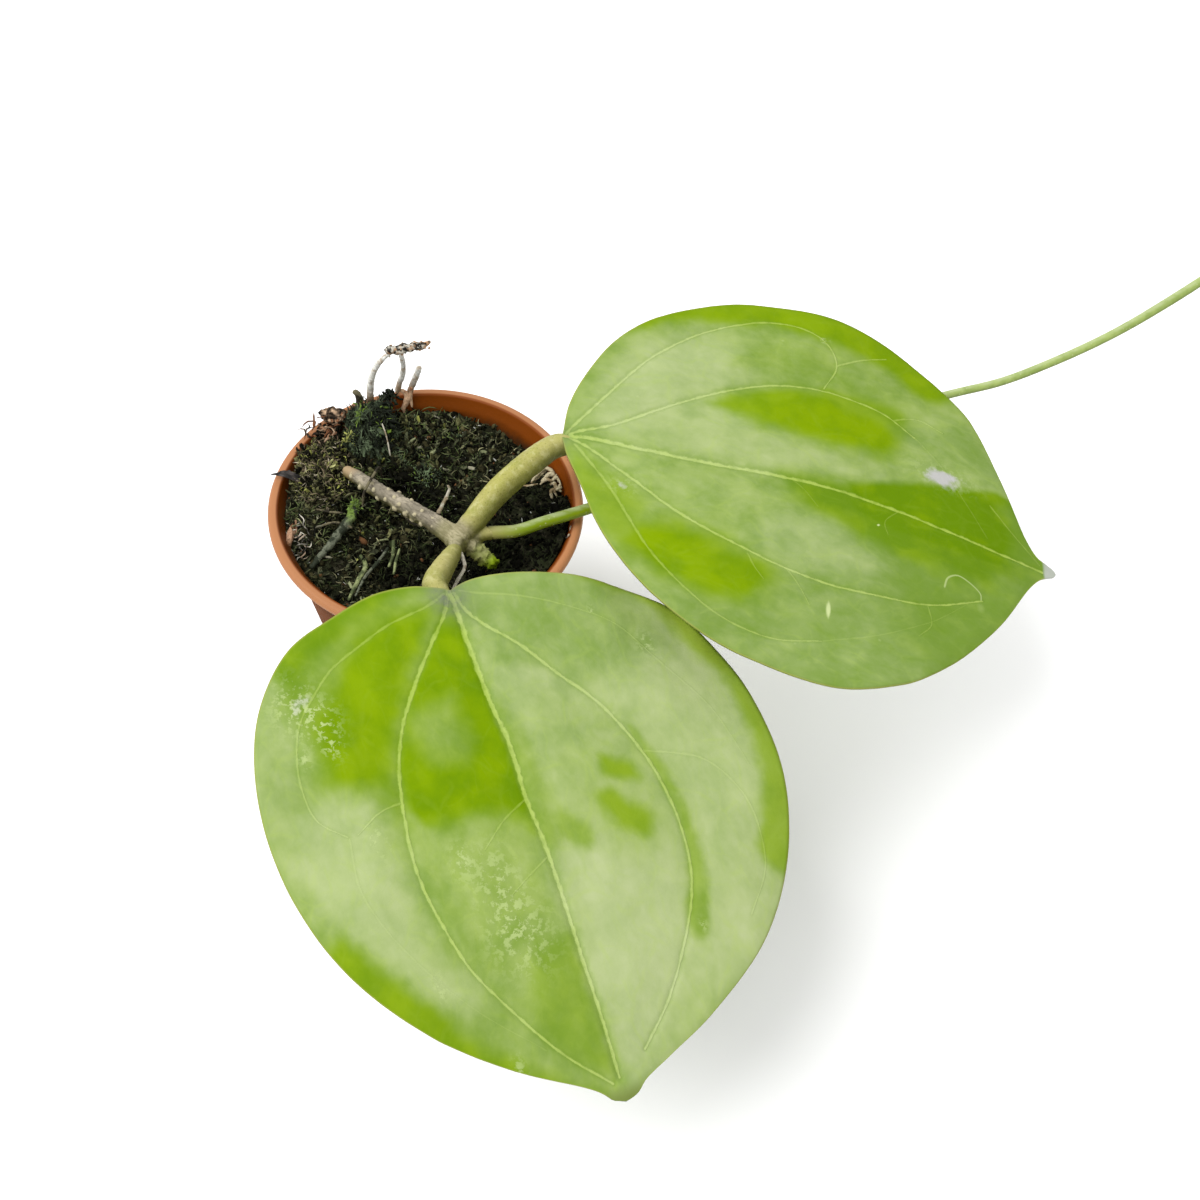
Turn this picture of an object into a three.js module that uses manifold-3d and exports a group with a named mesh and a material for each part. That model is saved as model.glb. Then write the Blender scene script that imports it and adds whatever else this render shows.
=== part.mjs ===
// A hoya dolichosparte cutting with two large leaves in a small plastic nursery pot.
// Millimetres, +Z up. The origin is the middle of the pot's underside, +X runs along the
// right leaf and the front leaf hangs towards -Y.
import * as THREE from 'three';
import { mergeVertices } from 'three/addons/utils/BufferGeometryUtils.js';
import Module from 'manifold-3d';

const wasm = await Module();
wasm.setup();

// Driving dimensions
const RIM_RADIUS = 45; // the lip's outer radius, a 9 cm pot
const POT_HEIGHT = 80;
const BASE_RADIUS = 28.5;
const BASE_ROUNDING = 1.2;
const NECK_RADIUS = 41; // outside of the wall under the lip
const NECK_HEIGHT = 77;
const WALL = 1;
const FLOOR = 1.6;
// The rolled lip from the wall outwards and over, as [inside the rim's radius, above the neck]
const LIP_SECTION = [[1.2, 0.2], [0.2, 1], [0, 1.9], [0.5, 2.6], [1.2, 3]];
const LIP_MOUTH_RADIUS = 42.2;
const LIP_MOUTH_ROUNDING = 0.5;
const DRAIN_COUNT = 6;
const DRAIN_RADIUS = 3;
const DRAIN_CIRCLE_RADIUS = 20;
const GAP = 0.3; // between pieces that touch
const POT_SEGMENTS = 64;
const DRAIN_SEGMENTS = 20;
const MERGE_DISTANCE = 1e-4;

const MIX_LEVEL = 70; // top of the growing mix where it is flat
const MOUNDS = [
  // centre, spread and height of each rise in the mix
  { x: -22, y: 10, spread: 13, height: 8 },
  { x: -12, y: 34, spread: 11, height: 5 },
  { x: 12, y: 38, spread: 16, height: 2.5 },
  { x: 34, y: 12, spread: 10, height: 1.5 },
  { x: 44, y: 5, spread: 8, height: 7 },
  { x: 41, y: -11, spread: 8, height: 6.5 },
];
const MIX_SEGMENTS = 48;
const MIX_RINGS = [0.85, 0.7, 0.55, 0.4, 0.25, 0.12]; // shares of the outer radius
const MIX_EDGE_WIDTH = 1; // outside of this the mix follows the wall

const LEAF_THICKNESS = 1.5;
const MARGIN_THINNING = 0.4; // share of the thickness lost at the margin
const LEAF_STUB_HALF_WIDTH = 0.8; // at the very base and tip
const CUP_REFERENCE = 70; // half width at which the cup heights below are measured
const LEAF_ROWS = 28; // along the midrib
const LEAF_LINES = 14; // across it

// Margin points run from base to tip as [along the midrib, away from it].
const LEAVES = {
  leaf_right: {
    base: [37.3, 11.2, 100],
    heading: -3,
    pitch: 3,
    roll: -3,
    droop: 24,
    length: 148.3,
    left: { cup: 4.4, margin: [[-1, 14], [12, 44], [41, 63.5], [81, 68.5], [119, 48.5], [138.5, 9]] },
    right: { cup: -0.9, margin: [[5, 12.5], [20, 39], [44, 60], [82, 66], [114, 46], [139.5, 9]] },
  },
  leaf_front: {
    base: [12.5, -43, 98],
    heading: -64.5,
    pitch: 3,
    roll: -8,
    droop: 20,
    length: 136,
    left: { cup: -0.8, margin: [[-1, 18.5], [10, 46], [37, 64.5], [75, 67], [110.5, 46.5], [132, 7]] },
    right: { cup: -3.5, margin: [[-3.5, 20], [7.5, 46], [37, 61.5], [74, 60.5], [108.5, 41], [131, 7]] },
  },
};

const NODE_CENTRE = [11, -16, 85]; // the swollen node where every limb meets
const NODE_RADIUS = 4;
const NODE_SEGMENTS = [20, 12];

// Each limb follows its points, with its radius given along the way.
const LIMBS = {
  main_stem: {
    points: [[-25, 9, 81], [-16, 2, 83], [-7, -4.5, 84.5], [2.5, -10.5, 85.5], NODE_CENTRE],
    radii: [2, 2.6, 2.8, 2.9, 3.6],
    sides: 14,
    steps: 16,
  },
  petiole_right: {
    points: [NODE_CENTRE, [15.5, -12, 88], [20.5, -4.5, 92], [28.5, 4, 96.5], [37, 11, 99.6]],
    radii: [3.8, 4, 3.9, 3.7, 2.8],
    sides: 14,
    steps: 16,
  },
  petiole_front: {
    points: [NODE_CENTRE, [10.3, -22, 88.3], [8.7, -30, 92.6], [8.3, -37.5, 95.4], [12, -42.3, 97.2]],
    radii: [3, 3, 3.6, 3.7, 2.6],
    sides: 14,
    steps: 16,
  },
  vine: {
    points: [
      NODE_CENTRE, [19.5, -12.3, 85], [26.5, -11, 85], [34.5, -6.5, 84.6], [46, -0.5, 84.3],
      [78, 20, 81], [117, 44.5, 77], [153.5, 65, 74.5], [172.5, 74.2, 74], [188.5, 82.7, 76],
      [202.5, 90.3, 79], [214, 97, 82.5], [234, 109, 91], [248, 117.5, 99], [257, 123, 106],
    ],
    radii: [2, 1.85, 1.7, 1.6, 1.6, 1.5, 1.4, 1.3, 1.3, 1.3, 1.35, 1.4, 1.4, 1.3, 0.8],
    sides: 8,
    steps: 64,
  },
  side_bud: {
    points: [NODE_CENTRE, [14.8, -16.6, 83], [18.6, -18.8, 81.5], [22.4, -20.4, 80]],
    radii: [2.4, 2.4, 2.2, 1.3],
    sides: 10,
    steps: 10,
  },
  aerial_root_upright: {
    points: [[4.6, -9.2, 88], [5.6, -9.5, 91], [7.4, -10, 94.5], [7.4, -10.2, 99]],
    radii: [0.6, 0.5, 0.5, 0.35],
    sides: 6,
    steps: 8,
  },
  aerial_root_side: {
    points: [[0, -10.5, 81.5], [-5.6, -8, 77], [-9, -4, 75], [-10.5, 0, 77]],
    radii: [0.6, 0.5, 0.45, 0.3],
    sides: 6,
    steps: 8,
  },
  aerial_root_curled: {
    points: [[12.5, -19.6, 83], [14.5, -20.5, 79], [13, -21.5, 75], [11, -21, 71.5]],
    radii: [0.7, 0.6, 0.5, 0.35],
    sides: 6,
    steps: 8,
  },
  stem_ring_root: {
    points: [[-12.5, 5, 82], [-13, 4.5, 86], [-14.5, 1, 87.5], [-17, -3, 86], [-17.5, -4, 82]],
    radii: [0.5, 0.5, 0.45, 0.45, 0.3],
    sides: 6,
    steps: 12,
  },
  mossy_twig: {
    points: [[-18.5, -3.5, 80.5], [-24.5, -11.5, 77.6], [-30, -19.5, 74]],
    radii: [1.5, 1.4, 0.8],
    sides: 8,
    steps: 8,
  },
  surface_root_front: {
    points: [[-17.2, -15.5, 73.4], [-15.2, -18.5, 72.6], [-16.6, -24, 72], [-18.3, -30.5, 71.5]],
    radii: [0.7, 0.8, 0.6, 0.4],
    sides: 6,
    steps: 10,
  },
  surface_root_middle: {
    points: [[-8.5, -9.7, 74], [-8, -14, 72.6], [-8.8, -18, 71.8]],
    radii: [0.6, 0.6, 0.4],
    sides: 6,
    steps: 6,
  },
  dry_root_left: {
    points: [[-21.5, 35.6, 83], [-20.6, 34.9, 90], [-19, 33.8, 97], [-16.2, 32.6, 103], [-13.5, 32.2, 105.6]],
    radii: [0.9, 0.9, 0.8, 0.7, 0.6],
    sides: 6,
    steps: 12,
  },
  dry_root_middle: {
    points: [[-14, 37, 82], [-12.4, 36.6, 88], [-11, 35.6, 96], [-10.2, 33.8, 105.2]],
    radii: [0.9, 0.9, 0.8, 0.7],
    sides: 6,
    steps: 10,
  },
  dry_root_short: {
    points: [[-9.6, 37.6, 77.5], [-9, 38.4, 84], [-7.8, 38.6, 90], [-6.3, 38.1, 95]],
    radii: [0.8, 0.8, 0.8, 0.5],
    sides: 6,
    steps: 8,
  },
  dry_hook: {
    points: [[-25.5, 30.5, 83], [-26.8, 31.4, 86.5], [-25.4, 32.4, 88.4], [-23.2, 32.6, 87]],
    radii: [0.9, 0.9, 0.8, 0.6],
    sides: 6,
    steps: 8,
  },
  inner_wall_root: {
    points: [[-12.5, 37, 79], [-10.9, 37.4, 77.5], [-9.5, 36.8, 76.4]],
    radii: [0.7, 0.9, 0.6],
    sides: 6,
    steps: 6,
  },
};

// Each clump is a rounded lump of this centre and half size.
const CLUMPS = {
  moss_clump_back: { centre: [-17.5, 29, 79], half: [9.5, 8, 6.5], detail: 3 },
  moss_clump_left: { centre: [-31, 14, 76.5], half: [6.5, 10, 5.5], detail: 3 },
  moss_pad: { centre: [-3.5, 15.5, 72.6], half: [4.5, 4, 2.2], detail: 2 },
  crumb_bridge: { centre: [-9.2, 33, 108], half: [6.3, 1.7, 1.6], detail: 2 },
  rim_crumb: { centre: [-31.5, 29, 82.6], half: [4, 3, 2], detail: 2 },
  bark_chip_left: { centre: [-34.5, -13, 75], half: [1.6, 4.6, 2], detail: 2 },
  leaf_fragment: { centre: [-40.5, 4.3, 81.4], half: [4.6, 1.8, 0.8], detail: 2 },
  root_tangle_base: { centre: [31.5, 17.5, 72.4], half: [4.6, 4, 2.4], detail: 2 },
};
const LUMPINESS = 0.12; // share by which a clump's surface waves in and out
const LUMP_WAVES = { x: 5, y: 4, z: 6, lean: 2 }; // how closely its waves follow each other

const FINISHES = {
  pot: { color: 0xc8623a, roughness: 0.55 },
  growing_mix: { color: 0x2a2620, roughness: 0.95 },
  moss: { color: 0x39482c, roughness: 0.95 },
  stem: { color: 0x8f8268, roughness: 0.8 },
  petiole: { color: 0x9c9c58, roughness: 0.7 },
  leaf: { color: 0x8bb52c, roughness: 0.4 },
  vine: { color: 0x86b23e, roughness: 0.6 },
  dry_root: { color: 0xb9a68c, roughness: 0.9 },
  bark: { color: 0x8a5a3c, roughness: 0.95 },
};

// Shared vertices merged, so that the surface is one closed body.
function closed(geometry) {
  geometry.deleteAttribute('normal');
  geometry.deleteAttribute('uv');
  return mergeVertices(geometry, MERGE_DISTANCE);
}

function solidOf(geometry) {
  const mesh = new wasm.Mesh({
    numProp: 3,
    vertProperties: new Float32Array(geometry.attributes.position.array),
    triVerts: new Uint32Array(geometry.index.array),
  });
  return new wasm.Manifold(mesh);
}

// The largest body left after the cuts, as a geometry.
function geometryOf(solid) {
  const bodies = solid.decompose().sort((a, b) => b.volume() - a.volume());
  const mesh = bodies[0].getMesh();
  const geometry = new THREE.BufferGeometry();
  geometry.setAttribute('position', new THREE.BufferAttribute(mesh.vertProperties, 3));
  geometry.setIndex(new THREE.BufferAttribute(mesh.triVerts, 1));
  return geometry;
}

function cutBack(geometry, keepClear) {
  const cut = keepClear.reduce((solid, other) => solid.subtract(other), solidOf(geometry));
  return geometryOf(cut);
}

// Moves every vertex of a geometry to the place that a function of it gives.
function reshape(geometry, placeOf) {
  const position = geometry.attributes.position;
  const vertex = new THREE.Vector3();
  for (let i = 0; i < position.count; i += 1) {
    placeOf(vertex.fromBufferAttribute(position, i));
    position.setXYZ(i, vertex.x, vertex.y, vertex.z);
  }
  return geometry;
}

// A full turn of a closed profile given as [radius, height] points.
function turned(profile, segments) {
  const points = profile.map(([radius, height]) => new THREE.Vector2(radius, height));
  const geometry = closed(new THREE.LatheGeometry(points, segments));
  return closed(geometry.rotateX(Math.PI / 2));
}

// Pot: one moulded shell with a rolled lip and drainage holes
function potGeometry() {
  const shell = turned([
    [0, 0],
    [BASE_RADIUS - BASE_ROUNDING, 0],
    [BASE_RADIUS, BASE_ROUNDING],
    [NECK_RADIUS, NECK_HEIGHT],
    ...LIP_SECTION.map(([inside, rise]) => [RIM_RADIUS - inside, NECK_HEIGHT + rise]),
    [LIP_MOUTH_RADIUS + LIP_MOUTH_ROUNDING, POT_HEIGHT],
    [LIP_MOUTH_RADIUS, POT_HEIGHT - LIP_MOUTH_ROUNDING],
    [NECK_RADIUS - WALL, NECK_HEIGHT - WALL],
    [BASE_RADIUS - WALL, FLOOR],
    [0, FLOOR],
  ], POT_SEGMENTS);
  const drains = [];
  for (let i = 0; i < DRAIN_COUNT; i += 1) {
    const angle = (i + 0.5) * 2 * Math.PI / DRAIN_COUNT;
    const drill = new THREE.CylinderGeometry(DRAIN_RADIUS, DRAIN_RADIUS, 3 * FLOOR, DRAIN_SEGMENTS);
    drill.rotateX(Math.PI / 2);
    drill.translate(DRAIN_CIRCLE_RADIUS * Math.cos(angle), DRAIN_CIRCLE_RADIUS * Math.sin(angle), FLOOR / 2);
    drains.push(solidOf(closed(drill)));
  }
  return cutBack(shell, drains);
}

// Growing mix: fills the pot, its top raised by the mounds
function mixTop(x, y) {
  const rise = MOUNDS.map((m) => {
    const squared = (x - m.x) ** 2 + (y - m.y) ** 2;
    return m.height * Math.exp(-squared / (2 * m.spread ** 2));
  });
  return MIX_LEVEL + rise.reduce((sum, h) => sum + h, 0);
}

function wallInside(height) {
  const share = (height - FLOOR) / (NECK_HEIGHT - WALL - FLOOR);
  return THREE.MathUtils.lerp(BASE_RADIUS - WALL, NECK_RADIUS - WALL, share);
}

function mixGeometry(grow = 0) {
  const bottom = FLOOR + GAP;
  const radiusAt = (height) => wallInside(height) - 2 * GAP + grow;
  const outer = radiusAt(MIX_LEVEL);
  const profile = [[0, bottom], [radiusAt(bottom), bottom], [outer, MIX_LEVEL]];
  MIX_RINGS.forEach((share) => profile.push([outer * share, MIX_LEVEL]));
  profile.push([0, MIX_LEVEL]);
  return reshape(turned(profile, MIX_SEGMENTS), (v) => {
    if (v.z < MIX_LEVEL - GAP) return;
    const top = mixTop(v.x, v.y) + grow;
    const radius = Math.hypot(v.x, v.y);
    const reach = radius > outer - MIX_EDGE_WIDTH ? radiusAt(top) / radius : 1;
    v.set(v.x * reach, v.y * reach, top);
  });
}

// Limb: a round stem or root of changing thickness along a smooth path
function limbGeometry({ points, radii, sides, steps }, grow = 0) {
  const path = new THREE.CatmullRomCurve3(points.map((p) => new THREE.Vector3(...p)));
  const frames = path.computeFrenetFrames(steps, false);
  const spots = path.getSpacedPoints(steps);
  const tube = new THREE.CylinderGeometry(1, 1, 1, sides, steps);
  return closed(reshape(tube, (v) => {
    const share = v.y + 0.5;
    const step = Math.round(share * steps);
    const place = share * (radii.length - 1);
    const below = Math.min(Math.floor(place), radii.length - 2);
    const radius = THREE.MathUtils.lerp(radii[below], radii[below + 1], place - below) + grow;
    const across = frames.binormals[step].clone().multiplyScalar(v.x * radius);
    const along = frames.normals[step].clone().multiplyScalar(v.z * radius);
    v.copy(spots[step]).add(across).add(along);
  }));
}

// Leaf: a curved blade whose long lines run from base to tip, as its veins do
function marginCurve(length, margin) {
  const points = [[0, 0], ...margin, [length, 0]];
  return new THREE.SplineCurve(points.map(([along, away]) => new THREE.Vector2(along, away)));
}

function leafGeometry(leaf, grow = 0) {
  const left = marginCurve(leaf.length, leaf.left.margin);
  const right = marginCurve(leaf.length, leaf.right.margin);
  const pose = new THREE.Euler(
    THREE.MathUtils.degToRad(leaf.roll),
    THREE.MathUtils.degToRad(leaf.pitch),
    THREE.MathUtils.degToRad(leaf.heading),
    'ZYX',
  );
  const base = new THREE.Vector3(...leaf.base);
  const blade = new THREE.BoxGeometry(1, 1, 1, LEAF_ROWS, LEAF_LINES, 1);
  return closed(reshape(blade, (v) => {
    const share = v.x + 0.5;
    const across = 2 * v.y;
    const side = across > 0 ? leaf.left : leaf.right;
    const edge = (across > 0 ? left : right).getPoint(share);
    const x = THREE.MathUtils.lerp(leaf.length * share, edge.x, across ** 2);
    const y = across * Math.max(edge.y, LEAF_STUB_HALF_WIDTH);
    const middle = side.cup * (y / CUP_REFERENCE) ** 2 - leaf.droop * (x / leaf.length) ** 2;
    const thickness = LEAF_THICKNESS * (1 - MARGIN_THINNING * across ** 2) + 2 * grow;
    v.set(x, y, middle + Math.sign(v.z) * thickness / 2).applyEuler(pose).add(base);
  }));
}

// Clump: a lump with a wavy surface
function clumpGeometry({ centre, half, detail }) {
  const lump = new THREE.IcosahedronGeometry(1, detail);
  return closed(reshape(lump, (v) => {
    const wave = Math.sin(LUMP_WAVES.x * v.x + 1) * Math.cos(LUMP_WAVES.y * v.y)
      + Math.sin(LUMP_WAVES.z * v.z + LUMP_WAVES.lean * v.x);
    v.multiplyScalar(1 + LUMPINESS * wave / 2);
    v.set(centre[0] + half[0] * v.x, centre[1] + half[1] * v.y, centre[2] + half[2] * v.z);
  }));
}

// The room that a piece keeps free around itself.
const wallRoomLow = NECK_HEIGHT / 2;
const wallRoomHigh = NECK_HEIGHT - WALL;
const roomOf = {
  mix: solidOf(mixGeometry(GAP)),
  wall: solidOf(turned([
    [wallInside(wallRoomLow) - GAP, wallRoomLow],
    [RIM_RADIUS + GAP, wallRoomLow],
    [RIM_RADIUS + GAP, POT_HEIGHT + GAP],
    [LIP_MOUTH_RADIUS, POT_HEIGHT + GAP],
    [wallInside(wallRoomHigh) - GAP, wallRoomHigh],
    [wallInside(wallRoomLow) - GAP, wallRoomLow],
  ], POT_SEGMENTS)),
};
const roomOfLimb = (name) => solidOf(limbGeometry(LIMBS[name], GAP));
const roomOfLeaf = (name) => solidOf(leafGeometry(LEAVES[name], GAP));

function ball(radius) {
  const geometry = closed(new THREE.SphereGeometry(radius, ...NODE_SEGMENTS));
  return solidOf(geometry.translate(...NODE_CENTRE));
}

const plant = new THREE.Group();

function addPiece(name, geometry, finish) {
  const mesh = new THREE.Mesh(geometry, new THREE.MeshStandardMaterial(FINISHES[finish]));
  mesh.name = name;
  plant.add(mesh);
}

// Pot and growing mix
addPiece('pot', potGeometry(), 'pot');
addPiece('growing_mix', mixGeometry(), 'growing_mix');

// Stem with its swollen node, and the limbs that grow from the node
const stemSolid = solidOf(limbGeometry(LIMBS.main_stem)).add(ball(NODE_RADIUS));
addPiece('main_stem', geometryOf(stemSolid.subtract(roomOf.mix)), 'stem');
const stemRoom = roomOfLimb('main_stem').add(ball(NODE_RADIUS + GAP));

const limbRooms = [stemRoom];
const leafRooms = { petiole_right: roomOfLeaf('leaf_right'), petiole_front: roomOfLeaf('leaf_front') };
for (const name of ['petiole_right', 'petiole_front']) {
  const geometry = cutBack(limbGeometry(LIMBS[name]), [...limbRooms, leafRooms[name]]);
  addPiece(name, geometry, 'petiole');
  limbRooms.push(roomOfLimb(name));
}
for (const name of ['vine', 'side_bud']) {
  addPiece(name, cutBack(limbGeometry(LIMBS[name]), limbRooms), 'vine');
  limbRooms.push(roomOfLimb(name));
}

// Leaves
for (const name of ['leaf_right', 'leaf_front']) {
  addPiece(name, leafGeometry(LEAVES[name]), 'leaf');
}

// Moss, chips and crumbs, resting on the mix and kept clear of the pot and the stem
const clumpRooms = [roomOf.mix, roomOf.wall, stemRoom];
const clumpFinishes = {
  crumb_bridge: 'bark',
  rim_crumb: 'bark',
  bark_chip_left: 'bark',
  leaf_fragment: 'growing_mix',
  root_tangle_base: 'dry_root',
};
const bridgeHolders = ['dry_root_left', 'dry_root_middle'].map(roomOfLimb);
for (const name of Object.keys(CLUMPS)) {
  const rooms = name === 'crumb_bridge' ? bridgeHolders : clumpRooms;
  const geometry = cutBack(clumpGeometry(CLUMPS[name]), rooms);
  addPiece(name, geometry, clumpFinishes[name] ?? 'moss');
  if (rooms === clumpRooms) clumpRooms.push(solidOf(clumpGeometry(CLUMPS[name])));
}

// Thin roots and the twig, cut back to whatever they grow from or lie on
const rootRooms = [...clumpRooms, ...limbRooms];
const thinPieces = Object.keys(LIMBS).filter((name) => !plant.getObjectByName(name));
for (const name of thinPieces) {
  const dry = name.startsWith('dry') || name.startsWith('aerial');
  addPiece(name, cutBack(limbGeometry(LIMBS[name]), rootRooms), dry ? 'dry_root' : 'moss');
  rootRooms.push(roomOfLimb(name));
}

export default plant;
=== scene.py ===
"""A young hoya in a small round nursery pot, with two broad waxy leaves and one long climbing shoot."""

import math

import bmesh
import bpy
import numpy as np
from bpy.props import FloatProperty, FloatVectorProperty, IntProperty, PointerProperty
from mathutils import Matrix, Vector, noise


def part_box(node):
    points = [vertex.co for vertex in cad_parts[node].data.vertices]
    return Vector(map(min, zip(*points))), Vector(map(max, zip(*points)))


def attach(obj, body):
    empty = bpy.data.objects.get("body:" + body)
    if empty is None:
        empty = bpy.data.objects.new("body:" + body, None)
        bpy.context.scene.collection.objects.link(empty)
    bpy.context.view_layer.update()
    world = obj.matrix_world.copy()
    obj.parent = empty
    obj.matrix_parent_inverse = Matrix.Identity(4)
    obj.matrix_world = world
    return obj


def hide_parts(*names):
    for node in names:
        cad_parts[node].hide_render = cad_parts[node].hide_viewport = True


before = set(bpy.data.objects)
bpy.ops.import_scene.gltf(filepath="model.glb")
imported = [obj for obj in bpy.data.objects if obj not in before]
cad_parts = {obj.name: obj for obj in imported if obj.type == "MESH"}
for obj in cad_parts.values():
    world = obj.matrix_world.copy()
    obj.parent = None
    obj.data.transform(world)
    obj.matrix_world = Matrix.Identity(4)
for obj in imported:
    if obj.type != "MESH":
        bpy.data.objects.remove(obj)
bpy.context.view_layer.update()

bl_info = {
    "name": "Potted Hoya",
    "version": (1, 0, 0),
    "blender": (4, 5, 0),
    "location": "3D View > Sidebar > Potted Hoya",
    "description": "Builds a potted hoya with two broad leaves and a long climbing shoot",
    "category": "Add Mesh",
}

MM = 0.001
POT_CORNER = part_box("pot")[1]
CHUNK = 4000  # points handled at a time where each is compared with a whole path

# Pot, in millimetres
BEAD_RADIUS = 1.5
LIP_EDGE_RADIUS = 0.8
LIP_OVERHANG = 2.5
FOOT_RADIUS = 1.2
FLOOR_THICKNESS = 1.6
FLOOR_CORNER_RADIUS = 2
DRAIN_CIRCLE = 20
DRAIN_SIDES = 24

# Growing mix, in millimetres
MIX_EDGE = 39.4
MIX_BOTTOM = 2
MIX_RINGS = 96
MIX_STEPS = 260

# Mounds of the growing mix: place, spread and height in millimetres
MOUNDS = [
    (-22, 10, 13, 7.5), (-12, 34, 11, 4), (12, 38, 16, 3.5), (34, 12, 10, 1.5), (-39, -11, 10, 5.5),
    (-38, 4, 8, 2), (44, 5, 8, 8.5), (41, -11, 8, 8), (35, -25, 8, 7),
]

# Veins of the right leaf: points, width, depth of the groove, strength of the line
RIGHT_VEINS = [
    ([(0, 1), (10, 1.4), (22, 0.9), (39, 0.9), (50, 1.5), (62, 2.4), (80, 3.3), (91, 2.9), (101, 2.2),
     (112, 0.8), (122, -0.2), (144, -1)], 1.0, 0.5, 1.0),
    ([(2, 2), (16, 9.6), (30, 20.5), (44, 30), (57, 36.5), (73, 40), (91, 39), (103, 33)], 0.7, 0.35, 0.9),
    ([(2, 0.5), (9, -3), (21, -11), (35, -20), (50, -26), (63, -30), (77, -32), (92, -31.5), (107, -29),
     (124, -21)], 0.7, 0.35, 0.9),
    ([(1, 2), (10, 18), (21, 36), (32, 48), (43, 56), (57, 61.5), (67, 61.5), (74, 58), (77.5, 51),
     (74, 41)], 0.6, 0.25, 0.8),
    ([(77.5, 51), (86, 56.5), (93, 60)], 0.5, 0.12, 0.7),
    ([(4, -2), (14, -14), (22, -26), (30, -37), (40, -47), (51, -53), (63, -55), (77, -52)], 0.6, 0.25, 0.6),
    ([(127, 16), (134, 9), (143, 1)], 0.4, 0.1, 0.5),
    ([(55, -29), (57, -33), (60, -37)], 0.4, 0.1, 0.4),
    ([(66, 2.5), (70, -1), (74, -6)], 0.35, 0.08, 0.3),
    ([(103, 33), (112, 24), (120, 12), (126, 3)], 0.35, 0.08, 0.3),
    ([(96, 37), (104, 40), (112, 38)], 0.45, 0.1, 0.5),
    ([(98, 2), (94, -4), (95, -9)], 0.35, 0.08, 0.35),
    ([(66, -30.5), (70, -36), (73, -42)], 0.35, 0.08, 0.4),
    ([(107, -29), (108, -36), (104, -42)], 0.35, 0.08, 0.35),
    ([(77, -52), (92, -46), (108, -35), (121, -22)], 0.35, 0.08, 0.2),
]
# Patches of the right leaf: outline, softness of its edge, bloom and painted sheen, depth of green inside
RIGHT_PATCHES = [
    ([(60, -20), (80, -13), (100, -16), (125, -12), (140, 0), (150, -10), (120, -60), (80, -75), (44, -70),
     (50, -52), (66, -44)], 9, 0.4, 1.0),
    ([(95, -20), (130, -12), (142, 0), (148, -12), (118, -54), (100, -46)], 9, 0.22, 1.0),
    ([(2, 4), (6, 22), (18, 42), (34, 54), (50, 49), (54, 37), (42, 26), (60, 17), (100, 15), (102, 8),
     (60, 4), (20, 1)], 7, 0.62, 0.45),
    ([(9, 9), (12, 26), (22, 42), (38, 46), (46, 36), (32, 24), (26, 11)], 7, 0.78, 0.35),
    ([(22, 3), (30, 17), (60, 18), (78, 14), (72, 6), (48, 3)], 5, 0.68, 0.3),
    ([(14, 45), (30, 54), (50, 59), (66, 60), (78, 58), (92, 56), (108, 49), (116, 58), (90, 76), (50, 78),
     (10, 60)], 3, 0.03, 0.15),
    ([(46, 42), (58, 54), (72, 55), (84, 47), (100, 44), (106, 37), (70, 42)], 5, 0.36, 0.3),
    ([(40, 24), (54, 33.5), (70, 38.5), (92, 38.5), (104, 32), (99, 24), (86, 20.5), (72, 19),
     (56, 20)], 4.5, 0.04, 0.1),
    ([(54, 31), (74, 38.5), (93, 38), (96, 27), (80, 22), (60, 23)], 3.5, 0.0, 0.0),
    ([(74, 40), (96, 41), (104, 36), (98, 33), (76, 37)], 3, 0.1, 0.2),
    ([(100, 15), (98, 31), (108, 44), (124, 42), (136, 22), (118, 18)], 6, 0.44, 0.65),
    ([(62, 4), (85, 8), (100, 11), (125, 14), (140, 2), (134, -9), (120, -16), (100, -17), (84, -13),
     (68, -8)], 5.5, 0.06, 0.7),
    ([(83, 6.5), (92, 10.5), (100, 13), (118, 18.5), (134, 21), (144, 4), (138, -3), (120, -6), (100, -6),
     (86, -2)], 1.6, 0.0, 0.85),
    ([(130, 16), (134, 19), (146, 2), (138, -8), (132, -4), (134, 6)], 4, 0.16, 1.0),
    ([(58, -12), (70, -10), (84, -14), (94, -21), (84, -29), (68, -29), (56, -23)], 6, 0.58, 0.8),
    ([(8, -3), (30, -2), (60, -3), (62, -13), (46, -20), (30, -16), (15, -9)], 6, 0.48, 0.4),
    ([(20, -27), (36, -24), (50, -28), (62, -34), (58, -44), (44, -46), (30, -42), (20, -34)], 5.5, 0.0, 0.2),
    ([(3, -4), (12, -10), (24, -20), (20, -32), (6, -22)], 5, 0.16, 0.05),
    ([(26, -46), (40, -50), (56, -56), (60, -68), (36, -62), (20, -48)], 5, 0.42, 0.7),
]
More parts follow.
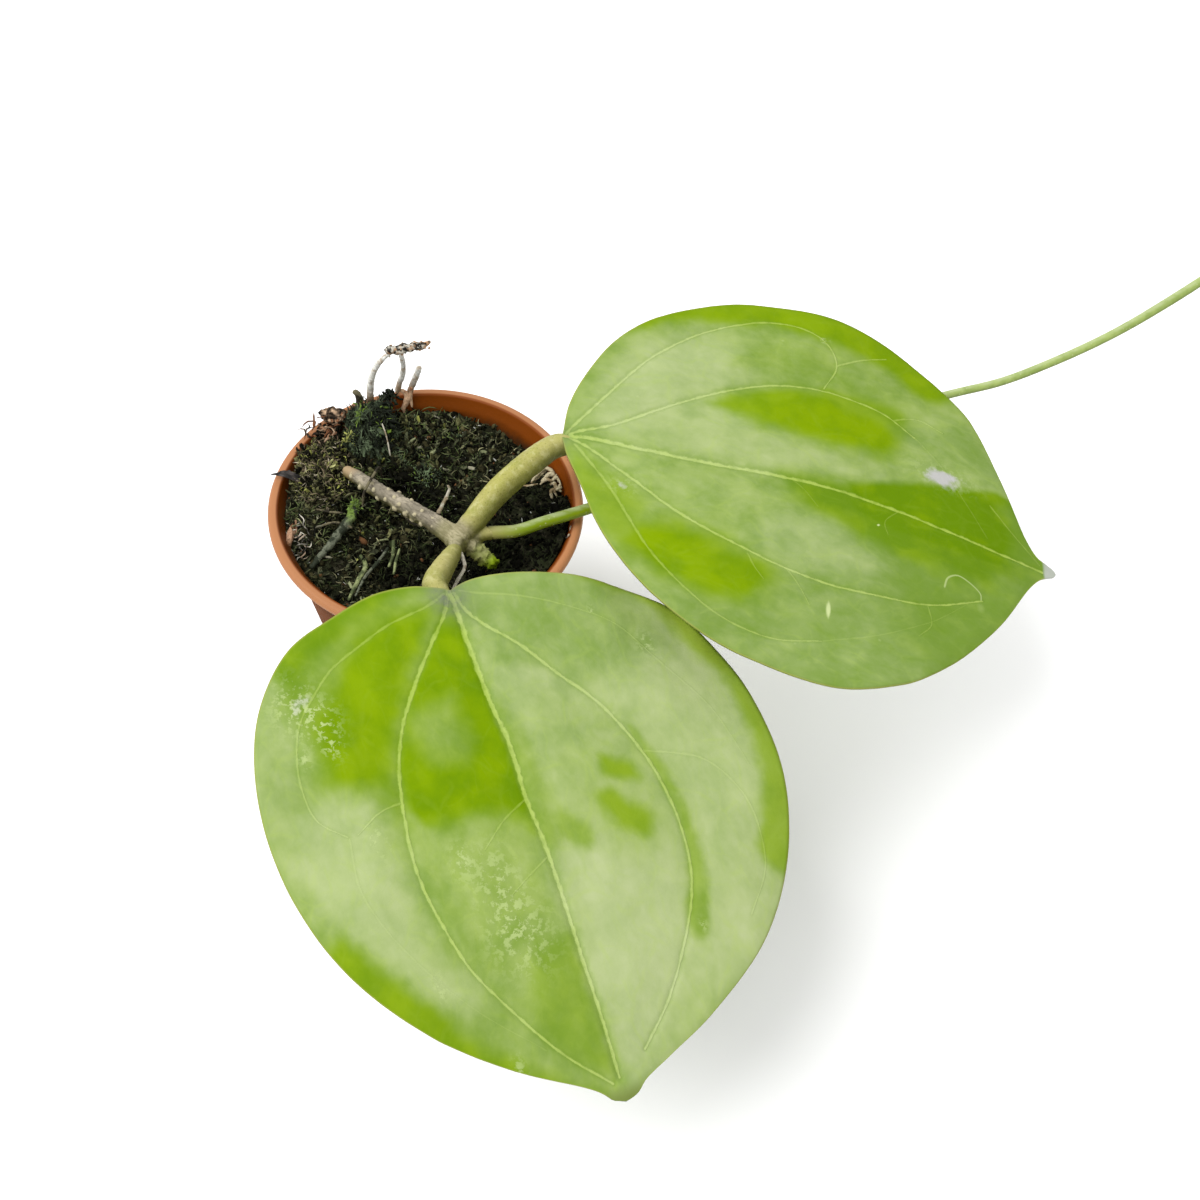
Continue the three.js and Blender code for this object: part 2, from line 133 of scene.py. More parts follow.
# Veins of the front leaf: points, width, depth of the groove, strength of the line
FRONT_VEINS = [
    ([(0, -0.3), (21, -1), (34, -1), (49, 0), (62, -0.8), (75, 0), (99, 0), (113, 0),
     (130, 0)], 1.0, 0.5, 1.0),
    ([(1, 0.5), (8, 2), (21, 12), (32, 19.5), (41, 26), (52, 31), (63, 34), (75, 35.3), (87, 34.5),
     (96, 31.5), (107, 25), (117, 17.5), (126, 8)], 0.7, 0.35, 0.85),
    ([(1, -1), (7, -4), (16, -11), (27, -19), (37, -25), (48, -29), (62, -31.5), (73, -32), (84, -30.5),
     (97, -27), (107, -21.5), (121, -12), (131, -2)], 0.7, 0.35, 0.9),
    ([(1, -2), (4, -8), (7, -19), (11, -28), (16, -37), (22, -43), (29, -48.5), (37, -51.5), (46, -52.5),
     (54, -51), (60, -45)], 0.55, 0.22, 0.5),
    ([(1, 2), (3, 6), (6, 15), (12, 27), (21, 39), (33, 46)], 0.45, 0.15, 0.3),
    ([(57, 32.5), (60, 41), (64, 48), (75, 54), (84, 55), (94, 53), (104, 45)], 0.45, 0.15, 0.35),
    ([(55, -30.5), (56, -36), (60, -43)], 0.4, 0.1, 0.5),
    ([(62, -1), (66, -8), (72, -15)], 0.4, 0.1, 0.45),
    ([(77, 0), (81, -7), (84, -12)], 0.35, 0.1, 0.4),
    ([(60, -45), (74, -46), (90, -40), (106, -29), (120, -15)], 0.35, 0.08, 0.2),
    ([(33, 46), (50, 55), (70, 59)], 0.35, 0.08, 0.2),
]
# Patches of the front leaf: outline, softness of its edge, bloom and painted sheen, depth of green inside
FRONT_PATCHES = [
    ([(-4, 1), (-4, 32), (18, 64), (60, 74), (104, 64), (134, 20), (138, 0)], 3, 0.6, 0.4),
    ([(76, 2), (80, 29), (98, 30), (118, 19), (130, 3)], 6, 0.85, 0.3),
    ([(18, 34), (30, 52), (50, 63), (80, 61), (95, 50), (90, 38), (60, 38), (40, 28)], 7, 0.76, 0.35),
    ([(88, 36), (90, 56), (104, 55), (118, 36), (114, 24)], 6, 0.78, 0.2),
    ([(-2, 2), (-2, 30), (12, 50), (28, 46), (34, 26), (30, 4)], 7, 0.46, 0.85),
    ([(26, 4), (30, 16), (44, 24), (48, 18), (42, 5)], 3, 0.74, 0.5),
    ([(34, 3), (36, 18), (50, 27), (62, 22), (60, 6)], 6, 0.56, 0.6),
    ([(53, 22), (64, 30), (82, 29), (84, 20), (66, 11), (54, 12)], 4.5, 0.6, 0.15),
    ([(56, 21), (60, 29), (64, 29), (61, 20)], 1.8, 0.12, 0.15),
    ([(65, 21), (74, 28), (79, 26), (74, 19), (66, 17)], 2.4, 0.12, 0.1),
    ([(66, 6), (74, 12), (78, 10), (72, 4)], 2, 0.3, 0.2),
    ([(50, 32), (62, 36.5), (76, 38.5), (92, 37), (106, 31), (104, 28), (88, 33.5), (74, 35.5),
     (60, 33)], 1.6, 0.3, 0.2),
    ([(34, 1), (56, 5), (76, 3), (76, 0), (34, 0)], 2.5, 0.34, 0.3),
    ([(2, -1), (30, -1), (62, -1), (72, -2), (69, -16), (61, -28), (48, -29), (30, -21), (16, -11),
     (4, -3)], 1.6, 0.0, 0.5),
    ([(4, -5), (18, -14), (30, -22), (46, -30), (62, -33), (72, -36), (66, -44), (44, -47), (30, -46),
     (22, -40), (12, -32), (4, -20)], 4.5, 0.02, 0.3),
    ([(-2, -8), (4, -24), (14, -40), (26, -52), (14, -56), (0, -38), (-6, -18)], 5, 0.06, 0.5),
    ([(32, -11), (47, -11), (46, -21), (33, -21)], 5, 0.3, 0.45),
    ([(68, -2), (80, -2), (106, -7), (102, -20), (90, -27), (66, -29), (64, -14)], 5, 0.42, 0.3),
    ([(96, -1), (132, -1), (126, -7), (112, -15), (98, -10)], 3, 0.22, 0.35),
    ([(52, -36), (70, -34), (90, -33), (106, -26), (104, -36), (90, -47), (76, -56), (60, -61), (50, -59),
     (50, -46)], 6, 0.76, 0.35),
    ([(14, -51), (30, -50), (46, -53), (58, -60), (40, -70), (18, -62)], 4, 0.6, 0.4),
    ([(82, -54), (94, -45), (104, -37), (114, -30), (124, -18), (134, -5), (138, -12), (122, -36), (104, -54),
     (88, -62)], 3, 0.06, 0.3),
    # Painted light: these two patches keep the top margin a light green where it lies in shade under the
    # other leaf.
    ([(4, 36), (16, 51), (30, 59), (50, 62.5), (70, 61), (92, 53), (98, 62), (70, 76), (40, 76),
     (6, 58)], 2.2, 0.2, 0.0),
    ([(5, 34), (13, 46), (23, 53), (38, 60), (38, 72), (2, 60)], 3, 0.16, 0.0),
]

# Leaves, in millimetres and degrees, with turn as heading, pitch and roll. Left and right hold the
# cup height of that half and its margin from the petiole to the tip, as (along the midrib, away
# from it). All other places on a leaf are (along, across) with left positive. Scars, residue,
# flecks, smudge and lit are soft spots: centre, half sizes, strength; the lit spots are painted
# light that brightens the blade where it lies in shade. The tip has its colour, its length and the
# length over which it starts.
LEAVES = {
    "leaf_right": {
        "base": (37.3, 11.2, 100), "turn": (-3, 3, -3), "length": 148.3, "droop": 24,
        "left": (4.4, [(0.4, 13.6), (5.2, 29.9), (12.5, 43.6), (25.1, 55.8), (40.8, 64.1), (60, 68.1),
            (81, 68.2), (102.3, 61.2), (119.2, 48.7), (130.4, 28.6), (138.5, 9.2), (142.2, 3.9), (145.3, 2.4),
            (147.6, 1.2)]),
        "right": (-0.9, [(2.2, 6.4), (5.1, 12.4), (8.5, 19.4), (11.9, 26.8), (20, 39.1), (30.8, 50.8),
            (44.7, 59.5), (62.3, 64.3), (81.8, 65.9), (100.4, 59.4), (114.7, 46.7), (129.1, 27.8),
            (139.2, 9.6), (142.9, 4.4), (145.3, 2.5), (147.6, 1.2)]),
        "veins": RIGHT_VEINS,
        "patches": RIGHT_PATCHES,
        "scars": [(111, 19.5, 4.5, 2.6, 0.85), (114, 22, 4, 1.3, 0.35), (18.5, -15, 2.2, 1.8, 0.45)],
        "residue": [(112, 21, 8, 3.4, 0.5), (18.5, -14, 4.4, 3.2, 0.3), (73, 59, 1.2, 0.9, 0.8)],
        "flecks": [(78.2, -41.5, 0.7, 3.0, 0.9), (92, -6, 0.5, 0.5, 0.9), (123, -24, 2.5, 4, 0.4)],
        "smudge": [(0, 0, 3, 4, 0.4)],
        "tip": ((0.31, 0.33, 0.285), 4.4, 1.0),
        "lit": [],
        "scratches": [[(112, -21), (113, -17.5), (116, -15.5), (119.5, -16.5), (123, -19), (123.3, -21)]],
    },
    "leaf_front": {
        "base": (12.5, -43, 98), "turn": (-64.5, 3, -8), "length": 135.4, "droop": 20,
        "left": (-0.8, [(-1.5, 6), (-0.9, 18.4), (3.7, 33.7), (11.3, 45.3), (21.6, 57.3), (36.9, 64.7),
            (55, 68), (74.8, 66.5), (94.2, 59.3), (110.4, 46.4), (123.3, 26.5), (129, 13.5), (132.3, 6),
            (134.3, 3.5), (135.1, 1.5)]),
        "right": (-3.5, [(-2.8, 9), (-2.9, 19.8), (1.7, 33.6), (7.9, 45.8), (21.4, 56.3), (36.9, 61.9),
            (55, 63.5), (74.1, 60.8), (91.9, 53.8), (108.4, 41.1), (121.9, 23.8), (129.9, 8.8), (132.5, 4.8),
            (134.4, 3), (135, 1.3)]),
        "veins": FRONT_VEINS,
        "patches": FRONT_PATCHES,
        "scars": [(23, -44.5, 1.6, 3, 0.35), (25, -48.5, 2.6, 1.8, 0.35), (28.5, 45.5, 1.6, 1.6, 0.3)],
        "residue": [(24.5, -48.5, 6, 4.5, 0.9), (30, -43, 4.5, 3, 0.8), (37, -43, 2.6, 1.8, 0.8),
            (38.5, -50, 1.8, 1.2, 0.8), (63, -39, 4, 1.8, 0.6), (73, -21.5, 3.4, 2.2, 0.7),
            (80, -14.5, 7, 4.5, 0.65), (93, -13, 7, 6, 0.8), (100, -35, 2.4, 1.2, 0.7),
            (122, -22.5, 2.4, 1.2, 0.7), (28.5, 45, 3, 2, 0.7), (103, 32, 1.4, 0.8, 0.6),
            (15.5, 34, 1, 0.8, 0.8)],
        "flecks": [],
        "smudge": [(2.4, -1.2, 4.6, 4.2, 1.3)],
        "tip": ((0.13, 0.17, 0.04), 4.5, 4.0),
        "lit": [(24, 59, 8, 4, 0.7), (12, 51, 7, 3.5, 0.45), (40, 64, 10, 3, 0.12)],
        "scratches": [],
    },
}

# Limbs: the points that each runs through and its radius along its length, in millimetres
NODE_CENTRE = (11, -16, 85)
NODE_RADIUS = 3.7
STEM_LIMBS = {
    "main_stem": (
        [(-25, 9, 81), (-16, 2, 83), (-7, -4.5, 84.5), (2.5, -10.5, 85.5), NODE_CENTRE],
        [1.75, 2.1, 2.3, 2.5, 3.2],
    ),
    "petiole_right": (
        [NODE_CENTRE, (14.9, -11.4, 88), (20.3, -4.4, 92), (28.7, 4.4, 95.6), (36.2, 11.1, 96.8),
         (42.5, 11.3, 96.9), (47.5, 10.9, 97.9)],
        [3.2, 3.5, 3.75, 3.75, 3.3, 1],
    ),
    "petiole_front": (
        [NODE_CENTRE, (10.9, -21.5, 87.5), (10, -27, 90.2), (8.6, -33, 92.2), (7.7, -38.5, 93.4),
         (10.5, -43.5, 94.8), (14, -48.5, 95.8)],
        [2.6, 2.1, 2.75, 3.25, 3.5, 2.7, 1.2],
    ),
    "side_bud": (
        [NODE_CENTRE, (14.8, -16.6, 83), (18.6, -18.8, 81.5), (22.4, -20.4, 80)],
        [2.6, 2.7, 2.5, 1.7],
    ),
}
# Warts of the stem: how far along it, how far round in degrees from the top towards the front, radius
STEM_WARTS = [
    (0.12, 50, 0.55), (0.22, 88, 0.65), (0.3, 10, 0.5), (0.34, 45, 0.55), (0.38, 92, 0.7), (0.42, -20, 0.5),
    (0.45, 60, 0.6), (0.48, -60, 0.6), (0.5, 15, 0.5), (0.53, 90, 0.8), (0.56, 40, 0.55), (0.6, -40, 0.5),
    (0.62, 78, 0.7), (0.67, 110, 0.75), (0.69, 50, 0.55), (0.72, 5, 0.5), (0.75, 88, 0.65),
]
VINE_POINTS = [
    NODE_CENTRE, (19.5, -12.7, 84.8), (26.5, -11.2, 84.7), (34.5, -6.6, 84.3), (46, -0.5, 84), (78, 20, 81),
    (117, 44.5, 77), (153.5, 65, 74.2), (172.5, 74.2, 73.3), (188.5, 82.5, 75.3), (202.5, 89.9, 78.5),
    (214, 96.5, 82), (234, 108.4, 90.8), (248, 117, 98.8), (257, 122.2, 105.6),
]
VINE_RADII = [2, 1.75, 1.6, 1.5, 1.5, 1.45, 1.4, 1.3, 1.3, 1.3, 1.35, 1.4, 1.5, 1.5, 1.1]
# The side of the limbs that is painted lighter, as painted light; the far side is painted darker, as shade
PAINTED_LIGHT_SIDE = (-0.35, 0.35, 0.87)


# Nodes of the shaders

class Nodes:
    """Short calls that add nodes to one shader tree and join them."""

    def __init__(self, tree):
        self.tree = tree
        tree.nodes.clear()

    def add(self, kind, inputs=(), **settings):
        node = self.tree.nodes.new(kind)
        for name, value in settings.items():
            setattr(node, name, value)
        for name, value in dict(inputs).items():
            if isinstance(value, bpy.types.NodeSocket):
                self.tree.links.new(value, node.inputs[name])
            else:
                node.inputs[name].default_value = value
        return node

    def place(self):
        """The point on the piece, in metres."""
        return self.add("ShaderNodeTexCoord").outputs["Object"]

    def attribute(self, name, output="Fac"):
        return self.add("ShaderNodeAttribute", attribute_name=name).outputs[output]

    def stretched(self, vector, scale):
        return self.add("ShaderNodeMapping", {"Vector": vector, "Scale": scale}).outputs["Vector"]

    def cloud(self, vector, scale, detail=3.0, roughness=0.55):
        inputs = {"Vector": vector, "Scale": scale, "Detail": detail, "Roughness": roughness}
        return self.add("ShaderNodeTexNoise", inputs).outputs["Fac"]

    def cells(self, vector, scale, feature="F1", output="Distance"):
        inputs = {"Vector": vector, "Scale": scale}
        return self.add("ShaderNodeTexVoronoi", inputs, feature=feature).outputs[output]

    def maths(self, operation, a, b=0.0, clamp=False):
        node = self.add("ShaderNodeMath", {0: a, 1: b}, operation=operation, use_clamp=clamp)
        return node.outputs[0]

    def parts(self, vector):
        return self.add("ShaderNodeSeparateXYZ", {0: vector}).outputs

    def times(self, a, b, clamp=False):
        return self.maths("MULTIPLY", a, b, clamp)

    def plus(self, a, b, clamp=False):
        return self.maths("ADD", a, b, clamp)

    def vectors(self, operation, a, b=(0, 0, 0)):
        node = self.add("ShaderNodeVectorMath", {0: a, 1: b}, operation=operation)
        return node.outputs["Vector"]

    def span(self, value, low, high, to_low=0.0, to_high=1.0, kind="SMOOTHSTEP"):
        inputs = {"Value": value, "From Min": low, "From Max": high, "To Min": to_low, "To Max": to_high}
        return self.add("ShaderNodeMapRange", inputs, interpolation_type=kind).outputs["Result"]

    def blend(self, factor, a, b, mode="MIX"):
        """Colour b over colour a."""
        inputs = {0: factor, 6: opaque(a), 7: opaque(b)}
        return self.add("ShaderNodeMix", inputs, data_type="RGBA", blend_type=mode).outputs[2]

    def bump(self, height, distance, strength=1.0, normal=None):
        inputs = {"Height": height, "Distance": distance, "Strength": strength}
        if normal is not None:
            inputs["Normal"] = normal
        return self.add("ShaderNodeBump", inputs).outputs["Normal"]

    def group(self, tree, inputs):
        return self.add("ShaderNodeGroup", inputs, node_tree=tree).outputs

    def mottle(self, vector, scale, seed=0.0):
        return self.group(mottle_group(), {"Vector": vector, "Scale": scale, "Seed": seed})["Mask"]

    def grain(self, vector, scale):
        return self.group(grain_group(), {"Vector": vector, "Scale": scale})["Height"]

    def line(self, name, grow=1.0):
        return self.group(vein_group(), {"Line": self.attribute(name, "Vector"), "Grow": grow})

    def specks(self, vector, scale, share, radius):
        inputs = {"Vector": vector, "Scale": scale, "Share": share, "Radius": radius}
        return self.group(speck_group(), inputs)["Mask"]

    def surface(self, colour, roughness, normal=None, **plain):
        inputs = {"Base Color": opaque(colour), "Roughness": roughness}
        if normal is not None:
            inputs["Normal"] = normal
        inputs.update({name.replace("_", " "): value for name, value in plain.items()})
        shader = self.add("ShaderNodeBsdfPrincipled", inputs)
        self.add("ShaderNodeOutputMaterial", {"Surface": shader.outputs[0]})


def opaque(colour):
    if isinstance(colour, bpy.types.NodeSocket):
        return colour
    return (*colour[:3], 1.0)


def toned(colour, factor):
    return [c * factor for c in colour]


def new_material(name, colour):
    material = bpy.data.materials.new(name)
    material.use_nodes = True
    material.diffuse_color = opaque(colour)
    return material, Nodes(material.node_tree)


SOCKET = {"value": "NodeSocketFloat", "vector": "NodeSocketVector", "colour": "NodeSocketColor"}


def new_group(name, inputs, outputs):
    """A shader group with its sockets; inputs are (name, kind, default) and outputs (name, kind)."""
    tree = bpy.data.node_groups.new(name, "ShaderNodeTree")
    for label, kind, default in inputs:
        socket = tree.interface.new_socket(label, in_out="INPUT", socket_type=SOCKET[kind])
        if default is not None:
            socket.default_value = default
    for label, kind in outputs:
        tree.interface.new_socket(label, in_out="OUTPUT", socket_type=SOCKET[kind])
    nodes = Nodes(tree)
    entry = nodes.add("NodeGroupInput").outputs
    return tree, nodes, entry


def shared(build):
    """Build a shader group once and hand out the same one afterwards."""
    made = {}

    def get():
        if not made:
            made[0] = build()
        return made[0]
    return get


@shared
def mottle_group():
    """Soft irregular patches of a chosen size, as a mask."""
    tree, n, entry = new_group(
        "Mottle", [("Vector", "vector", None), ("Scale", "value", 100.0), ("Seed", "value", 0.0)],
        [("Mask", "value")])
    moved = n.vectors("ADD", entry["Vector"], n.add("ShaderNodeCombineXYZ", {0: entry["Seed"]}).outputs[0])
    patches = n.cloud(moved, entry["Scale"], 4.0, 0.6)
    n.add("NodeGroupOutput", {"Mask": n.span(patches, 0.34, 0.66)})
    return tree


@shared
def speck_group():
    """Small round dots, scattered, with a chosen share of the cells filled."""
    tree, n, entry = new_group(
        "Specks", [("Vector", "vector", None), ("Scale", "value", 800.0), ("Share", "value", 0.3),
                   ("Radius", "value", 0.25)],
        [("Mask", "value")])
    cell = n.add("ShaderNodeTexVoronoi", {"Vector": entry["Vector"], "Scale": entry["Scale"]})
    inside = n.maths("LESS_THAN", n.add("ShaderNodeSeparateColor", {0: cell.outputs["Color"]}).outputs[0],
                     entry["Share"])
    reach = n.maths("SUBTRACT", entry["Radius"], cell.outputs["Distance"])
    dot = n.times(reach, 8.0, clamp=True)
    n.add("NodeGroupOutput", {"Mask": n.times(dot, inside)})
    return tree


@shared
def vein_group():
    """The line of one vein, from its attribute: offset, overshoot and half width in millimetres."""
    tree, n, entry = new_group("Vein", [("Line", "vector", None), ("Grow", "value", 1.0)],
                               [("Line", "value"), ("Shade", "value")])
    parts = n.parts(entry["Line"])
    away = n.maths("SQRT", n.plus(n.times(parts[0], parts[0]), n.times(parts[1], parts[1])))
    width = n.times(n.maths("MAXIMUM", parts[2], 0.05), entry["Grow"])
    inner = n.maths("DIVIDE", away, width)
    n.add("NodeGroupOutput", {
        "Line": n.span(inner, 0.55, 1.5, 1.0, 0.0),
        "Shade": n.span(inner, 1.2, 4.5, 1.0, 0.0),
    })
    return tree


@shared
def grain_group():
    """Fine uneven relief at two sizes, as a height."""
    tree, n, entry = new_group("Grain", [("Vector", "vector", None), ("Scale", "value", 500.0)],
                               [("Height", "value")])
    coarse = n.cloud(entry["Vector"], entry["Scale"], 3.0, 0.6)
    fine = n.cloud(entry["Vector"], n.times(entry["Scale"], 4.3), 2.0, 0.5)
    n.add("NodeGroupOutput", {"Height": n.plus(n.times(coarse, 0.7), n.times(fine, 0.3))})
    return tree


# Materials

def pot_material(settings):
    material, n = new_material("pot_plastic", settings.lip_colour)
    place = n.place()
    wear = n.mottle(place, 60)
    height = n.parts(place)[2]
    level = n.vectors("MULTIPLY", place, (1, 1, 0))
    away = n.add("ShaderNodeVectorMath", {0: level}, operation="LENGTH").outputs["Value"]
    within = n.span(away, settings.rim_radius - 0.0028, settings.rim_radius - 0.0021, 1, 0)
    below = n.span(height, settings.height - 0.0045, settings.height - 0.0032, 1, 0)
    # The outside's colour is darker than the lip's plastic, as painted shade on the wall.
    outside = n.blend(wear, settings.shaded_wall_colour, toned(settings.shaded_wall_colour, 1.15))
    # Painted shade: the outside is made darker just under the lip, where the lip shades it.
    shade_under_lip = n.span(height, settings.height - 0.022, settings.height - 0.008, 0, 0.65)
    outside = n.blend(shade_under_lip, outside, toned(settings.shaded_wall_colour, 0.3))
    # Painted light and shade: the inner wall is lighter near the rim and darker further down.
    slope = n.span(height, settings.height - 0.0105, settings.height - 0.001, 0, 1)
    inside = n.blend(slope, toned(settings.shaded_inner_colour, 0.7), toned(settings.shaded_inner_colour, 1.2))
    across = n.parts(place)[0]
    # Painted light: the lip is made up to 1.4 times brighter on the right side, where the leaves shade it.
    lip = n.blend(n.span(across, 0.026, 0.042), settings.lip_colour, toned(settings.lip_colour, 1.4))
    colour = n.blend(below, lip, outside)
    # Painted shade: the inner wall is made darker on the left side.
    inside = n.blend(n.span(across, -0.042, -0.018, 0.6, 0), inside, toned(settings.shaded_inner_colour, 0.3))
    wall_line = n.span(height, 0, settings.height - 0.0032, settings.base_radius - settings.wall * 0.5,
                       settings.rim_radius - 0.004 - settings.wall * 0.5, "LINEAR")
    inner = n.maths("MAXIMUM", n.times(within, n.maths("SUBTRACT", 1, below)),
                    n.maths("LESS_THAN", away, wall_line))
    colour = n.blend(inner, colour, inside)
    # A near-black band low on the inner wall: partly damp dirt from the mix, partly painted shade; it reaches
    # higher on the left, where the wall lies in shade.
    splash = n.mottle(place, 260, 3)
    shaded = n.span(across, -0.04, 0, 0.0028, 0)
    damp_and_shade = n.times(n.span(n.maths("SUBTRACT", height, shaded), 0.072, 0.0775, 1, 0), inner)
    colour = n.blend(n.times(n.times(damp_and_shade, n.span(splash, 0, 1, 0.3, 1)), 0.85), colour,
                     (0.022, 0.013, 0.006))
    specks = n.specks(place, 420, 0.025, 0.26)
    colour = n.blend(n.times(specks, 0.6), colour, (0.42, 0.28, 0.19))
    wall = n.times(below, n.maths("SUBTRACT", 1, inner))
    roughness = n.plus(n.span(wear, 0, 1, 0.36, 0.5), n.times(wall, 0.4), clamp=True)
    grain = n.grain(place, 900)
    n.surface(colour, roughness, n.bump(grain, 0.0002, 0.35),
              Specular_IOR_Level=n.span(wall, 0, 1, 0.09, 0.01))
    return material


def leaf_material(name, settings, tip_colour, vein_count, scratch_count):
    """Waxy blade: saturated green under pale bloom and painted sheen, light veins, dried spots, a dry tip."""
    material, n = new_material(name, settings.leaf_colour)
    place = n.place()
    plane = n.add("ShaderNodeUVMap", uv_map="leaf_plane").outputs[0]
    noise_colour = n.add("ShaderNodeTexNoise", {"Vector": plane, "Scale": 9}).outputs["Color"]
    warp = n.vectors("MULTIPLY", noise_colour, (0.07, 0.07, 0))
    warped = n.stretched(n.vectors("ADD", plane, warp), (0.62, 1, 1))
    broad = n.cloud(plane, 8, 4, 0.62)
    facets = n.cells(warped, 17, "SMOOTH_F1")
    fine = n.cloud(warped, 34, 3, 0.6)
    small = n.cells(warped, 42, "SMOOTH_F1")
    blotch = n.plus(n.span(broad, 0.3, 0.7, -0.07, 0.07), n.span(facets, 0.05, 0.6, 0.05, -0.05))
    blotch = n.plus(blotch, n.span(fine, 0.35, 0.65, -0.03, 0.03))
    blotch = n.plus(blotch, n.span(small, 0.05, 0.6, 0.03, -0.03))
    # The pale bloom is partly the blade's waxy bloom and partly a painted reflection of the light on its
    # gloss.
    painted = n.maths("POWER", n.attribute("bloom"), 1.3)
    blotch = n.times(blotch, n.span(painted, 0, 0.4, 0.05, 1))
    bloom = n.plus(painted, blotch, clamp=True)
    drift = n.plus(n.span(broad, 0.3, 0.7, 0.3, -0.3), n.span(facets, 0.05, 0.6, -0.22, 0.22))
    depth = n.plus(n.attribute("depth"), drift, clamp=True)
    colour = n.blend(depth, settings.leaf_colour, settings.leaf_deep_colour)
    colour = n.blend(bloom, colour, settings.leaf_pale_colour)
    # Painted light: the colour is multiplied up at the lit spots, where the blade lies in shade under the
    # other leaf.
    painted_light_gain = n.blend(n.attribute("lit"), (1, 1, 1), (2.9, 2.5, 4))
    colour = n.blend(1, colour, painted_light_gain, "MULTIPLY")

    net = n.span(n.cells(warped, 8.5, "DISTANCE_TO_EDGE"), 0.006, 0.05, 1, 0)
    mesh_line = n.span(n.cells(warped, 23, "DISTANCE_TO_EDGE"), 0.01, 0.08, 0.6, 0)
    net = n.times(n.maths("MAXIMUM", net, mesh_line), n.span(n.cloud(plane, 20, 3), 0.35, 0.6))
    netting = n.times(net, n.span(bloom, 0.05, 0.4, 0.05, 0.16))
    colour = n.blend(netting, colour, settings.vein_colour)

    line = 0
    shade = 0
    ragged = n.span(n.cloud(plane, 42, 3), 0.3, 0.7, 0.8, 1.75)
    for index in range(vein_count):
        group = n.line(f"vein_{index}", ragged)
        strength = n.attribute(f"vein_{index}_strength")
        line = n.maths("MAXIMUM", line, n.times(group["Line"], strength))
        shade = n.maths("MAXIMUM", shade, n.times(group["Shade"], strength))
    colour = n.blend(n.times(shade, 0.22), colour, settings.leaf_deep_colour)
    vein = n.blend(bloom, settings.vein_colour, toned(settings.leaf_pale_colour, 1.2))
    broken = n.span(n.cloud(plane, 40, 2), 0.3, 0.6, 0.55, 0.9)
    colour = n.blend(n.times(line, broken), colour, vein)

    edge = n.attribute("edge")
    colour = n.blend(n.span(edge, 0.6, 1.6, 0.1, 0), colour, settings.leaf_deep_colour)
    colour = n.blend(n.span(edge, 0.1, 0.4, 0.5, 0), colour, (0.27, 0.27, 0.06))

    flakes = n.span(n.cloud(place, 520, 5, 0.7), 0.5, 0.56)
    residue = n.times(n.attribute("residue"), flakes)
    dust = n.specks(place, 260, 0.016, 0.16)
    residue = n.maths("MAXIMUM", residue, n.times(dust, 0.35))
    for index in range(scratch_count):
        mark = n.line(f"scratch_{index}")["Line"]
        residue = n.maths("MAXIMUM", residue, n.times(mark, 0.8))
    colour = n.blend(n.times(residue, 0.8), colour, (0.34, 0.41, 0.17))
    flecks = n.span(n.attribute("flecks"), 0.3, 0.7)
    colour = n.blend(flecks, colour, (0.38, 0.44, 0.2))
    worn = n.span(n.cloud(place, 260, 4, 0.65), 0.3, 0.7, -0.16, 0.16)
    scar = n.span(n.plus(n.attribute("scars"), worn), 0.2, 0.72)
    colour = n.blend(n.times(scar, 0.85), colour, (0.37, 0.355, 0.375))
    smudge = n.times(n.attribute("smudge"), n.span(n.cloud(place, 300), 0.35, 0.65, 0.5, 1))
    colour = n.blend(n.times(smudge, 0.9), colour, (0.11, 0.125, 0.09))
    colour = n.blend(n.attribute("tip"), colour, tip_colour)

    roughness = n.span(bloom, 0, 1, 0.3, 0.5)
    roughness = n.plus(roughness, n.times(residue, 0.25), clamp=True)
    skin = n.grain(place, 420)
    normal = n.bump(skin, 0.0003, 0.3)
    normal = n.bump(facets, 0.0006, 0.3, normal)
    normal = n.bump(line, 0.0004, 0.5, normal)
    normal = n.bump(n.maths("MAXIMUM", residue, scar), 0.0002, 0.4, normal)
    n.surface(colour, roughness, normal, Specular_IOR_Level=n.span(bloom, 0, 0.4, 0.008, 0.05))
    return material


def leaf_back_material(name, settings, vein_count):
    material, n = new_material(name, settings.leaf_back_colour)
    place = n.place()
    plane = n.add("ShaderNodeUVMap", uv_map="leaf_plane").outputs[0]
    mottle = n.mottle(place, 45)
    colour = n.blend(mottle, settings.leaf_back_colour, toned(settings.leaf_back_colour, 0.8))
    line = 0
    for index in range(vein_count):
        group = n.line(f"vein_{index}")
        line = n.maths("MAXIMUM", line, n.times(group["Line"], n.attribute(f"vein_{index}_strength")))
    net = n.span(n.cells(n.stretched(plane, (0.62, 1, 1)), 7.5, "DISTANCE_TO_EDGE"), 0.01, 0.06, 1, 0)
    colour = n.blend(n.times(net, 0.12), colour, settings.vein_colour)
    colour = n.blend(n.times(line, 0.6), colour, settings.vein_colour)
    skin = n.grain(place, 420)
    n.surface(colour, n.span(mottle, 0, 1, 0.5, 0.6), n.bump(skin, 0.0004, 0.3), Specular_IOR_Level=0.35)
    return material


